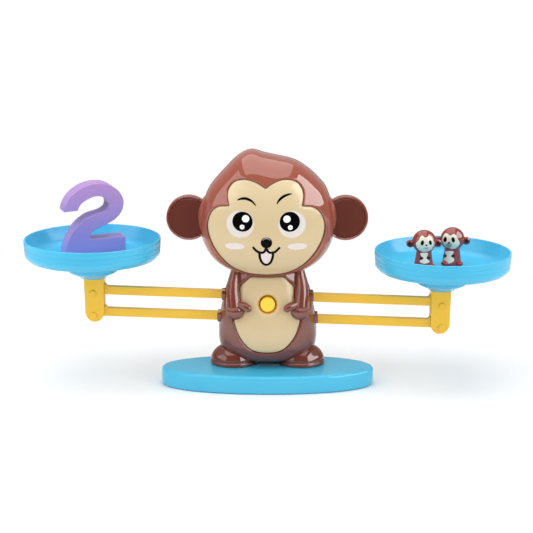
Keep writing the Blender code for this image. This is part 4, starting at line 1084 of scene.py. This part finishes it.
# %% Belly plate, with a rolled collar round the pivot's hole, painted amber as bounce light from the yellow button
COLLAR = (
    (-0.0012, 0.0036), (-0.0013, 0.0030), (-0.0012, 0.0024), (-0.0009, 0.0017), (-0.0005, 0.0010),
    (0.0, 0.0005), (0.0006, 0.00012), (0.0012, 0.0),
)
DISH = ((0.0030, 0.0), (0.0034, 0.00010), (0.0038, 0.00010), (0.0042, 0.0))
CLEAR_OF_DISH = 6
COLLAR_BOUNCE_REACH = 0.0002


def paint_light_and_shade_within(piece, centre, radius, finish, facing=1.0):
    """Gives a second finish, for painted light and shade, to the faces near a centre whose normal's y is
    below facing.
    """
    piece.data.materials.append(finish)
    for polygon in piece.data.polygons:
        x, _, z = polygon.center
        if math.hypot(x - centre[0], z - centre[1]) < radius and polygon.normal.y < facing:
            polygon.material_index = 1


belly_rings = [
    at(PIVOT, body_front, lambda a, g=grow: HOLE_RADIUS + g, PLATE_SINK + drop)
    for grow, drop in (*COLLAR, *DISH)
]
belly_rings += plate_rings(PIVOT, body_front, belly_reach, shares[CLEAR_OF_DISH:], HOLE_RADIUS)
belly_bm = spun_sheet([bore_ring(0.0, BORE_FLOOR), *belly_rings], FRONT_SPOKES)
middle = min(belly_bm.verts, key=lambda v: math.hypot(v.co.x - PIVOT[0], v.co.z - PIVOT[1]))
bmesh.ops.delete(belly_bm, geom=[middle], context="VERTS")
belly_plate = new_piece("belly_plate_shown", faces_out(belly_bm, -1), CREAM, 60)
# The collar's faces get painted bounce light, amber from the yellow button.
paint_light_and_shade_within(belly_plate, PIVOT, HOLE_RADIUS + COLLAR_BOUNCE_REACH, COLLAR_BOUNCE_LIGHT)
stands_for(belly_plate, "belly_plate")
print("belly plate", len(belly_plate.data.polygons), "faces")

# %% [markdown]
# ## The printed face
# The eyes, brows, nose and mouth are printed on the plate. Each ink mark is a thin sheet laid on the
# plate's surface, so that its edge stays sharp from any distance.

# %% Ink marks
PICTURE = 533
FACE_X, FACE_Z = 0.7066 * MM, 0.7296 * MM
FACE_ORIGIN = (-0.0009, 0.0935)
LAYER = 0.00004


def on_face(px, py):
    """A place on the face, x and z, from its pixel in a square picture with that many pixels a side."""
    return (FACE_ORIGIN[0] + (px - PICTURE / 2) * FACE_X, FACE_ORIGIN[1] + (PICTURE / 2 - py) * FACE_Z)


def printed(layer):
    """Lays a place, x and z, on the face plate, a number of ink layers above it."""
    return lambda x, z: (x, head_front(x, z) + PLATE_SINK - layer * LAYER, z)


def ink_piece(name, bm, ink, body="stand"):
    """A thin sheet of ink or paint that faces the viewer and rides on a body."""
    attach(new_piece(name, faces_out(bm, -1), ink, 60), body)


def ink_disc(name, centre, radii, layer, ink, rings=5):
    """An ellipse of ink that follows the plate."""
    ink_piece(name, spun_sheet(filled(centre, lambda a: 1.0, printed(layer), rings, radii), 64), ink)


def ink_stroke(name, pixels, width, layer, ink, taper):
    """A line of ink through pixel places, thinner towards its ends."""
    line = smooth_open([on_face(*pixel) for pixel in pixels], 10)
    last = len(line) - 1
    bm = bmesh.new()
    pairs = []
    for i, (x, z) in enumerate(line):
        ahead, behind = line[min(i + 1, last)], line[max(i - 1, 0)]
        dx, dz = ahead[0] - behind[0], ahead[1] - behind[1]
        half = width / 2 * (1 - taper * abs(2 * i / last - 1) ** 2) / math.hypot(dx, dz)
        pairs.append([bm.verts.new(printed(layer)(x - s * dz * half, z + s * dx * half)) for s in (-1, 1)])
    for first, second in zip(pairs, pairs[1:]):
        bm.faces.new((first[0], second[0], second[1], first[1]))
    ink_piece(name, bm, ink)


IRIS = (0.0167, 0.1267)
IRIS_RADIUS = 0.0072
HALO_RADIUS, HALO_SHIFT = 0.0106, (0.0016, -0.0019)
DOT_RADIUS = 0.0005
CHEEK = (0.0223, 0.1085)
CHEEK_RADII = (0.0070, 0.0025)
NOSE, NOSE_RADII = (266.4, 241.9), (0.0041, 0.0040)
EYE_LIGHTS = {
    "left": {"glint": (0.0022, 0.0022, 0.0026), "spark": (-0.0003, -0.0038, 0.0017)},
    "right": {"glint": (-0.0020, 0.0020, 0.0026), "spark": (0.0004, -0.0041, 0.0017)},
}
for side, word in SIDES:
    x, z = FACE_MIDDLE + side * IRIS[0], IRIS[1]
    halo = (x + side * HALO_SHIFT[0], z + HALO_SHIFT[1])
    ink_disc(f"{word}_eye_halo", halo, (HALO_RADIUS, HALO_RADIUS), 1, HALO_INK, 12)
    ink_disc(f"{word}_eye_black", (x, z), (IRIS_RADIUS, IRIS_RADIUS), 2, BLACK_INK)
    for kind, (dx, dz, radius) in EYE_LIGHTS[word].items():
        ink_disc(f"{word}_eye_{kind}", (x + dx, z + dz), (radius, radius), 3, WHITE_INK)
    dx, dz, _ = EYE_LIGHTS[word]["spark"]
    ink_disc(f"{word}_eye_dot", (x + dx, z + dz), (DOT_RADIUS, DOT_RADIUS), 4, GREY_INK)
    ink_disc(f"{word}_cheek", (FACE_MIDDLE + side * CHEEK[0], CHEEK[1]), CHEEK_RADII, 1, CHEEK_INK)
ink_disc("nose", on_face(*NOSE), NOSE_RADII, 2, BLACK_INK)
print("eyes, cheeks and nose", IRIS_RADIUS)

# %% Brows, mouth and tongue, as lines through pixels of the picture
LEFT_BROW = ((237.2, 200.4), (241.0, 198.9), (246.0, 198.6), (251.5, 200.8), (256.0, 205.2))
RIGHT_BROW = ((276.6, 203.8), (279.0, 200.0), (283.0, 196.6), (287.5, 194.8), (291.8, 194.0))
MOUTH = (
    (252.6, 246.0), (255.0, 248.8), (258.0, 251.2), (262.0, 252.0), (264.5, 250.6), (266.2, 248.0),
    (268.0, 250.6), (270.4, 252.0), (275.0, 251.2), (277.6, 248.8), (280.0, 246.4),
)
TONGUE = (
    (259.4, 252.0), (260.0, 258.0), (262.4, 263.0), (266.2, 265.2), (270.0, 263.2), (272.4, 258.0),
    (273.2, 252.0),
)
NOSE_SHINE = ((262.7, 239.6), (264.4, 237.9), (266.4, 237.3), (268.4, 237.9), (270.1, 239.6))
STROKES = {  # pixels, width, layer, ink, taper
    "left_brow": (LEFT_BROW, 0.0019, 1, BLACK_INK, 0.75),
    "right_brow": (RIGHT_BROW, 0.0019, 1, BLACK_INK, 0.75),
    "mouth": (MOUTH, 0.0019, 3, BLACK_INK, 0.15),
    "tongue_line": (TONGUE, 0.0018, 2, BLACK_INK, 0.0),
    "nose_shine": (NOSE_SHINE, 0.0008, 3, GREY_INK, 0.8),
}
for name, values in STROKES.items():
    ink_stroke(name, *values)
tongue_middle = on_face(266.2, 256.5)
tongue_reach = reach_table(smooth_open([on_face(*pixel) for pixel in TONGUE], 6), tongue_middle)
ink_piece("tongue_fill", spun_sheet(filled(tongue_middle, tongue_reach, printed(1), 4), 48), TONGUE_INK)
print("ink marks made")

# %% [markdown]
# ## Ears
# Each ear is a turned disc with a raised rim and a shallow dish, half sunk in its seat on the head.

# %% Ears
EAR_X, EAR_Z, EAR_DISH_RADIUS = 0.0570, 0.1236, 0.0147
EAR_PROFILE = (
    (0.0, -0.0037), (0.0100, -0.0037), (0.0138, -0.0036), (0.0142, -0.0033), (0.0146, -0.0033),
    (0.0149, -0.0038), (0.0154, -0.0042), (0.0159, -0.0041), (0.0163, -0.0036), (0.0164, -0.0022),
    (0.0164, 0.0022), (0.0162, 0.0032), (0.0157, 0.0038), (0.0145, 0.0042), (0.0, 0.0042),
)
for side, word in SIDES:
    x = HEAD_CENTRE[0] + side * EAR_X
    ear = new_piece(f"{word}_ear_shown", lathe(EAR_PROFILE, (x, 0, EAR_Z), steps=128), EAR_RIM)
    # The dish gets painted shade, darker than the rim.
    paint_light_and_shade_within(ear, (x, EAR_Z), EAR_DISH_RADIUS, EAR_DISH_SHADE, facing=-0.5)
    stands_for(ear, f"{word}_ear")
print("ears made")

# %% [markdown]
# ## Pans
# The pans are turned: a thin wall, a step, a cove and a hub below. One smooth profile is spun.

# %% Pans
PAN_RADIUS = 0.0498
PAN_RIM = (
    (-0.0051, -0.0098), (-0.0041, -0.0084), (-0.0014, -0.0008), (-0.0012, -0.0002), (-0.0009, 0.0),
    (-0.0004, 0.0), (-0.0001, -0.0002), (0.0, -0.0006), (-0.0001, -0.0046), (-0.0004, -0.0050),
    (-0.0003, -0.0055), (-0.0003, -0.0078), (-0.0006, -0.0082), (-0.0005, -0.0087),
    (-0.0005, -0.0112), (-0.0007, -0.0116), (-0.0013, -0.0120), (-0.0020, -0.0130),
    (-0.0027, -0.0140), (-0.0036, -0.0146),
)
PAN_FLOOR_LINE = ((0.0, -0.0126), (0.0380, -0.0126), (0.0405, -0.0124), (0.0428, -0.0116))
PAN_UNDERSIDE = (
    (0.0225, -0.0150), (0.0203, -0.0155), (0.0192, -0.0168), (0.0188, -0.0185), (0.0186, -0.0226),
    (0.0184, -0.0238), (0.0178, -0.0248), (0.0166, -0.0254), (0.0150, -0.0262), (0.0134, -0.0270),
    (0.0118, -0.0278), (0.0106, -0.0285), (0.0099, -0.0293), (0.0, -0.0293),
)
PAN_PROFILE = (*PAN_FLOOR_LINE, *[(PAN_RADIUS + r, z) for r, z in PAN_RIM], *PAN_UNDERSIDE)
for _, word in SIDES:
    centre = middle_of(f"{word}_pan", 1)
    pan = new_piece(f"{word}_pan_shown", lathe(PAN_PROFILE, centre, "Z", 192), PAN_BLUE, 30)
    stands_for(pan, f"{word}_pan")
    print(pan.name, [round(v, 4) for v in centre])

# %% [markdown]
# ## Button
# The pivot's head is a bright button, slightly dished, deep in the hole of the belly plate.

# %% Button
BUTTON_RADIUS = 0.00535
BUTTON_PROFILE = (
    (0.0, -0.0204), (0.0030, -0.0205), (0.0045, -0.0206), (0.0050, -0.0205), (0.0053, -0.0202),
    (BUTTON_RADIUS, -0.0198), (BUTTON_RADIUS, -0.0148), (0.0030, -0.0148), (0.0030, 0.0114),
    (0.0024, 0.0120), (0.0, 0.0120),
)
button = new_piece("button_shown", lathe(BUTTON_PROFILE, (PIVOT[0], 0, PIVOT[1])), BUTTON)
stands_for(button, "upper_pivot_pin")
print("button radius", BUTTON_RADIUS)

# %% [markdown]
# ## Base
# The base is a low oval box, open below, with a round top edge. Rings of one oval are spun from the
# middle of the top, over the edge, down the wall and back inside. Ribs and two screw bosses stand
# inside it.

# %% The oval shell
BASE_HALF = (0.0783, 0.0282)
BASE_CENTRE_Y = -0.0091
BASE_ROUND = 0.0026
BASE_POWER = 2.12
BASE_WALL = 0.0024
CORNER = 0.0012


def oval_ring(share, inset, z):
    """A ring of the base's oval, scaled by share and drawn in by inset."""

    def point(angle):
        c, s = squared(angle, BASE_POWER)
        x, y = (BASE_HALF[0] - inset) * c, (BASE_HALF[1] - inset) * s
        return (x * share, BASE_CENTRE_Y + y * share, z)

    return point


under = BASE_TOP - BASE_WALL
quarter = [math.pi / 2 * k / 8 for k in range(9)]
insets = (
    *[(BASE_ROUND * (1 - math.sin(a)), BASE_TOP - BASE_ROUND * (1 - math.cos(a))) for a in quarter],
    (0.0, 0.0018),
    (0.0002, 0.0010),
    (0.0008, 0.0003),
    (0.0014, 0.0),
    (BASE_WALL - 0.0004, 0.0),
    (BASE_WALL, 0.0004),
    (BASE_WALL, under - CORNER),
    (BASE_WALL + CORNER, under),
)
rings = [oval_ring(share, BASE_ROUND, BASE_TOP) for share in (0.0, 0.4, 0.8, 0.96)]
rings += [oval_ring(1.0, inset, z) for inset, z in insets]
rings += [oval_ring(share, BASE_WALL + CORNER, under) for share in (0.5, 0.0)]
base = new_piece("base_shell", spun_sheet(rings, 256), BLUE, 40)
stands_for(base, "base_plate")
print("base", len(base.data.vertices), "vertices")

# %% Ribs and screw bosses below
BASE_SCREW = (0.0252, -0.0075)
RIB_THICKNESS = 0.0016
RIB_REACH = 0.0205
CROSS_RIB_FOOT, LONG_RIB_FOOT = 0.0030, 0.0035
OVERLAP = 0.0002
BOSS_SEAT, BOSS_FOOT, BOSS_RADIUS = 0.0075, 0.0022, 0.0046
CROSS_RIBS = (-0.050, 0.0, 0.050)
LONG_RIBS = ((-0.0735, -0.0298), (-0.0206, 0.0206), (0.0298, 0.0735))


def box(bm, low, high):
    """A box from corner to corner."""
    made = bmesh.ops.create_cube(bm, size=1.0)["verts"]
    bmesh.ops.scale(bm, verts=made, vec=[b - a for a, b in zip(low, high)])
    bmesh.ops.translate(bm, verts=made, vec=[(a + b) / 2 for a, b in zip(low, high)])


ribs = bmesh.new()
half = RIB_THICKNESS / 2
y = BASE_CENTRE_Y
for x in CROSS_RIBS:
    box(ribs, (x - half, y - RIB_REACH, CROSS_RIB_FOOT), (x + half, y + RIB_REACH, under + OVERLAP))
for x0, x1 in LONG_RIBS:
    box(ribs, (x0, y - half, LONG_RIB_FOOT), (x1, y + half, under + OVERLAP / 2))
stands_for(even_shading(new_piece("base_ribs", ribs, BLUE)), "base_plate")
bosses = bmesh.new()
for side, _ in SIDES:
    place = (side * BASE_SCREW[0], BASE_SCREW[1], 0)
    join_into(bosses, screw_tube(under + OVERLAP, BOSS_SEAT, BOSS_FOOT, BOSS_RADIUS, place, "Z"))
stands_for(new_piece("base_bosses", bosses, BLUE), "base_plate")
print("ribs and bosses", BASE_SCREW)

# %% [markdown]
# ## Numeral
# The weight is a thick flat 2 of foamy plastic. Its outline is filled as one face, extruded to the
# weight's thickness, and bevelled along both outer edges, which show as light lines.

# %% The numeral 2
TWO_STROKE_OUTER = (
    (0.0000, 0.0000), (0.0008, 0.0050), (0.0035, 0.0126), (0.0096, 0.0222), (0.0186, 0.0290),
    (0.0290, 0.0320), (0.0332, 0.0352), (0.0333, 0.0396), (0.0300, 0.0430), (0.0235, 0.0438),
    (0.0165, 0.0411), (0.0125, 0.0378), (0.0107, 0.0342),
)
TWO_STROKE_INNER = (
    (0.0008, 0.0338), (0.0022, 0.0390), (0.0066, 0.0452), (0.0142, 0.0507), (0.0235, 0.0532),
    (0.0330, 0.0524), (0.0406, 0.0476), (0.0445, 0.0410), (0.0444, 0.0350), (0.0420, 0.0300),
    (0.0371, 0.0255), (0.0300, 0.0222), (0.0235, 0.0194), (0.0200, 0.0164), (0.0190, 0.0138),
    (0.0210, 0.0124),
)
TWO_WIDTH, TWO_BAR = 0.0456, 0.0127
NUMERAL_THICKNESS = 0.0160
NUMERAL_YAW = math.radians(20.4)
NUMERAL_ROUND = 0.0006


def slab(outline, thickness, width):
    """An outline of x and z, filled, extruded along y and bevelled by width along its outer edges."""
    bm = bmesh.new()
    face = bm.faces.new([bm.verts.new((x, -thickness / 2, z)) for x, z in outline])
    made = bmesh.ops.extrude_face_region(bm, geom=[face])["geom"]
    moved = [item for item in made if isinstance(item, bmesh.types.BMVert)]
    bmesh.ops.translate(bm, verts=moved, vec=(0, thickness, 0))
    bmesh.ops.recalc_face_normals(bm, faces=bm.faces)
    rims = [edge for edge in bm.edges if abs(edge.verts[0].co.y - edge.verts[1].co.y) < 1e-7]
    round_edges(bm, rims, width, 3)
    return bm


two = [*smooth_open(TWO_STROKE_OUTER, 6), *smooth_open(TWO_STROKE_INNER, 6)]
two += [(TWO_WIDTH, TWO_BAR), (TWO_WIDTH, 0.0)]
two_bm = slab([(x - TWO_WIDTH / 2, z) for x, z in two], NUMERAL_THICKNESS, NUMERAL_ROUND)
two_place = middle_of("numeral_weight", 0)
two_bm = placed(two_bm, two_place, NUMERAL_YAW, "Z")
numeral = even_shading(new_piece("numeral_shown", two_bm, PURPLE, 40))
stands_for(numeral, "numeral_weight")
print("numeral", [round(v, 4) for v in two_place])

# %% [markdown]
# ## Small monkeys
# The two small weights are painted by hand, so each mark is a little off centre. Heads, ears and feet
# are stretched balls, and the bodies are rounded square columns. The marks are thin sheets laid on
# them, placed by what the camera sees.

# %% From a pixel to a point of a surface
FOCAL = LENS / SENSOR * PICTURE
SIN_E, COS_E = math.sin(ELEVATION), math.cos(ELEVATION)


def seen_at(px, py, surface):
    """The point of a surface, given as y from x and z, that the camera sees at a pixel."""
    rise = (PICTURE / 2 - py) / FOCAL
    y = 0.0
    for _ in range(8):
        z = (rise * (DISTANCE + COS_E * y) - SIN_E * y) / (COS_E + rise * SIN_E)
        depth = DISTANCE + COS_E * y - SIN_E * z
        x = TARGET.x + (px - PICTURE / 2) / FOCAL * depth
        y = surface(x, TARGET.z + z)
    return x, y, TARGET.z + z


print("a pixel at the toy's middle is", round(DISTANCE / FOCAL / MM, 3), "mm")

# %% Forms of a small monkey
PAINT = 0.00006


def ball_front(centre, radii, yaw):
    """y of the front surface of a ball turned by yaw. Past its rim it goes straight back."""
    c, s = math.cos(yaw), math.sin(yaw)
    square = (s / radii[0]) ** 2 + (c / radii[1]) ** 2
    cross = s * c * (1 / radii[0] ** 2 - 1 / radii[1] ** 2)
    flat = (c / radii[0]) ** 2 + (s / radii[1]) ** 2

    def surface(x, z):
        across = x - centre[0]
        rest = across**2 * flat + ((z - centre[2]) / radii[2]) ** 2 - 1
        root = math.sqrt(max((cross * across) ** 2 - square * rest, 0.0))
        return centre[1] - (cross * across + root) / square

    return surface


def paint_patch(name, outline, surface, ink, node, lift):
    """A patch of paint inside an outline of pixels, on a surface."""
    middle = [sum(point[i] for point in outline) / len(outline) for i in (0, 1)]

    def painted(px, py):
        x, y, z = seen_at(px, py, surface)
        return (x, y - lift, z)

    rings = filled(middle, reach_table(smooth_closed(outline, 6), middle), painted, 6)
    ink_piece(name, spun_sheet(rings, 56), ink, BODY_OF[node])


def oval(centre, radii, tilt=0.0):
    """Twelve pixels round a tilted ellipse."""
    turn = Matrix.Rotation(tilt, 2)
    angles = [math.tau * k / 12 for k in range(12)]
    spots = [turn @ Vector((radii[0] * math.cos(a), radii[1] * math.sin(a))) for a in angles]
    return [(centre[0] + spot.x, centre[1] + spot.y) for spot in spots]


SMALL_BODY_RINGS = (  # height, half width, half depth
    (0.0000, 0.0064, 0.0050), (0.0008, 0.0069, 0.0056), (0.0040, 0.0068, 0.0056),
    (0.0085, 0.0061, 0.0050), (0.0140, 0.0054, 0.0044),
)
SMALL_BODY_LINE = smooth_open(SMALL_BODY_RINGS, 6)
SMALL_BODY_POWER = 2.3
SMALL_HEAD = (0.0199, (0.0088, 0.0072, 0.0087))  # height, radii
SMALL_EAR = (0.0101, 0.0186, (0.0030, 0.0016, 0.0030))  # x, height, radii
SMALL_EAR_INSIDE = (0.62, 0.5, 0.62)
INSIDE_OUT, INSIDE_FORWARD = 1.03, -0.0010
SMALL_FOOT = (0.0052, -0.0040, 0.0022, (0.0029, 0.0030, 0.0019))  # x, y, height, radii


def small_body(centre):
    """The body under the head, as rings of a rounded square."""

    def level(z, half_x, half_y, share=1.0):
        def point(angle):
            c, s = squared(angle, SMALL_BODY_POWER)
            return (centre[0] + half_x * share * c, centre[1] + half_y * share * s, centre[2] + z)

        return point

    rings = [level(*SMALL_BODY_LINE[0], share) for share in (0.0, 0.5, 0.9)]
    rings += [level(*values) for values in SMALL_BODY_LINE]
    rings += [level(*SMALL_BODY_LINE[-1], share) for share in (0.5, 0.0)]
    return spun_sheet(rings, 56)


def small_body_front(centre):
    """y of the body's front. Past its sides it goes straight back."""

    def surface(x, z):
        half_x, half_y = level_at(SMALL_BODY_LINE, z - centre[2])
        return centre[1] - half_y * puff(min(abs(x - centre[0]) / half_x, 0.999), SMALL_BODY_POWER)

    return surface


print("head of a small monkey", SMALL_HEAD)

# %% What is painted on each small monkey, in pixels of the picture
LEFT_MARKS = {
    "mask": (
        ((425.5, 237.4), (422.3, 235.2), (420.0, 237.0), (418.6, 240.2), (415.9, 242.9), (417.0, 247.4),
         (420.4, 250.6), (424.6, 251.7), (429.0, 250.6), (432.6, 248.2), (434.5, 243.4), (432.2, 238.2),
         (429.4, 235.4)),
    ),
    "eye": (oval((422.3, 242.6), (1.6, 2.6), 0.2), oval((430.3, 242.3), (1.4, 2.4), -0.2)),
    "nose": (oval((426.4, 245.0), (1.1, 0.8)),),
    "mouth": (
        ((423.8, 246.8), (425.0, 247.7), (426.3, 247.4), (427.6, 247.8), (428.9, 246.9), (427.6, 248.6),
         (426.3, 248.1), (425.0, 248.5)),
    ),
    "belly": (
        ((420.4, 252.9), (424.2, 252.4), (428.0, 252.9), (427.0, 256.0), (426.4, 258.0), (428.4, 259.6),
         (429.6, 261.6), (424.6, 263.4), (419.6, 261.6), (420.8, 259.6), (422.4, 258.0), (421.4, 256.0)),
    ),
    "hand": (oval((421.4, 258.0), (1.9, 1.5)), oval((428.6, 257.8), (1.9, 1.5))),
}
RIGHT_MARKS = {
    "mask": (
        ((450.2, 235.2), (446.2, 232.6), (443.6, 234.6), (442.4, 238.0), (441.1, 241.6), (443.4, 246.2),
         (447.0, 248.4), (451.4, 248.8), (456.4, 247.6), (459.8, 242.9), (457.4, 238.2), (455.8, 234.8),
         (453.4, 233.4)),
    ),
    "eye": (oval((445.1, 239.1), (1.6, 2.7), 0.2), oval((453.1, 239.5), (1.7, 2.7), -0.2)),
    "nose": (oval((448.9, 242.4), (1.2, 0.9)),),
    "mouth": (
        ((445.9, 244.6), (448.9, 246.6), (451.9, 244.6), (451.7, 245.5), (448.9, 247.5), (446.1, 245.5)),
    ),
    "belly": (
        ((444.9, 251.2), (449.2, 250.6), (453.6, 251.2), (452.6, 254.0), (451.8, 255.8), (453.4, 257.6),
         (454.0, 260.6), (448.8, 263.2), (443.2, 260.6), (444.4, 257.6), (446.2, 255.8), (445.6, 254.0)),
    ),
    "hand": (oval((444.9, 255.4), (1.9, 1.5)), oval((453.0, 255.7), (1.9, 1.5))),
}
PAINTS = {
    "mask": PALE_INK,
    "eye": BLACK_INK,
    "nose": BLACK_INK,
    "mouth": GREY_INK,
    "belly": PALE_INK,
    "hand": DARK_RED,
}


def small_monkey(node, marks, yaw):
    """A small weight, turned by yaw on its node's place in the pan, with its painted marks."""
    centre = middle_of(node, 0)

    def off(x, y, z):
        """A place measured from the weight's foot, turned with it."""
        turned = Matrix.Rotation(yaw, 3, "Z") @ Vector((x, y, 0))
        return (centre[0] + turned.x, centre[1] + turned.y, centre[2] + z)

    def form(name, bm, finish):
        stands_for(new_piece(f"{node}_{name}", bm, finish, 60), node)

    head_centre = off(0, 0, SMALL_HEAD[0])
    form("body", small_body(centre), RED_BROWN)
    form("head", ball(head_centre, SMALL_HEAD[1], 56, 28, yaw), RED_BROWN)
    for side, word in SIDES:
        x, z, radii = SMALL_EAR
        form(f"{word}_ear", ball(off(side * x, 0, z), radii, yaw=yaw), RED_BROWN)
        radii = [a * b for a, b in zip(radii, SMALL_EAR_INSIDE)]
        inside = ball(off(side * x * INSIDE_OUT, INSIDE_FORWARD, z), radii, yaw=yaw)
        form(f"{word}_ear_inside", inside, DARK_RED)
        x, y, z, radii = SMALL_FOOT
        form(f"{word}_foot", ball(off(side * x, y, z), radii, yaw=yaw), FOOT_RED)
    head_surface = ball_front(head_centre, SMALL_HEAD[1], yaw)
    body_surface = small_body_front(centre)
    for kind, outlines in marks.items():
        surface = body_surface if kind in ("belly", "hand") else head_surface
        lift = PAINT if kind in ("mask", "belly") else 2 * PAINT
        for number, outline in enumerate(outlines, start=1):
            paint_patch(f"{node}_{kind}_{number}", outline, surface, PAINTS[kind], node, lift)
    print(node, [round(v, 4) for v in centre])


small_monkey("small_monkey_left", LEFT_MARKS, math.radians(3))
small_monkey("small_monkey_right", RIGHT_MARKS, math.radians(-4))

# %% [markdown]
# ## Beams, brackets, pins and screws
# These are simple mouldings whose solids already have every form. Their copies get rounded edges, as
# wide as a mould leaves them, and shading that keeps the broad faces flat.

# %% Copies with rounded edges
FINISHES = {"yellow_plastic": YELLOW, "steel": STEEL}
MOULDED = ("upper_beam", "lower_beam", "left_bracket", "right_bracket")
PINS = [f"{word}_{level}_pin" for _, word in SIDES for level in ("upper", "lower")]
SCREWS = ["base_screw_left", "base_screw_right", *[f"shell_screw_{k}" for k in range(1, 5)]]
EDGE_RADIUS = {0.0005: MOULDED, 0.0002: PINS, 0.0: ["lower_pivot_pin", *SCREWS]}


def rounded_copy(node, radius):
    """The node's own solid with rounded edges. The frame's loose triangles are merged into faces first."""
    bm = bmesh.new()
    bm.from_mesh(frame["nodes"][node].data)
    bmesh.ops.remove_doubles(bm, verts=bm.verts, dist=1e-6)
    flat = {"angle_limit": math.radians(1), "use_dissolve_boundaries": False}
    bmesh.ops.dissolve_limit(bm, verts=bm.verts, edges=bm.edges, **flat)
    piece = new_piece(node + "_shown", bm, FINISHES[SLOTS[node]])
    if radius:
        bevel = piece.modifiers.new("rounded_edges", "BEVEL")
        bevel.width = radius
        bevel.segments = 3
        bevel.limit_method = "ANGLE"
        bevel.angle_limit = math.radians(50)
    stands_for(even_shading(piece), node)


for radius, nodes in EDGE_RADIUS.items():
    for node in nodes:
        rounded_copy(node, radius)
    print("edge", radius, len(nodes), "copies")
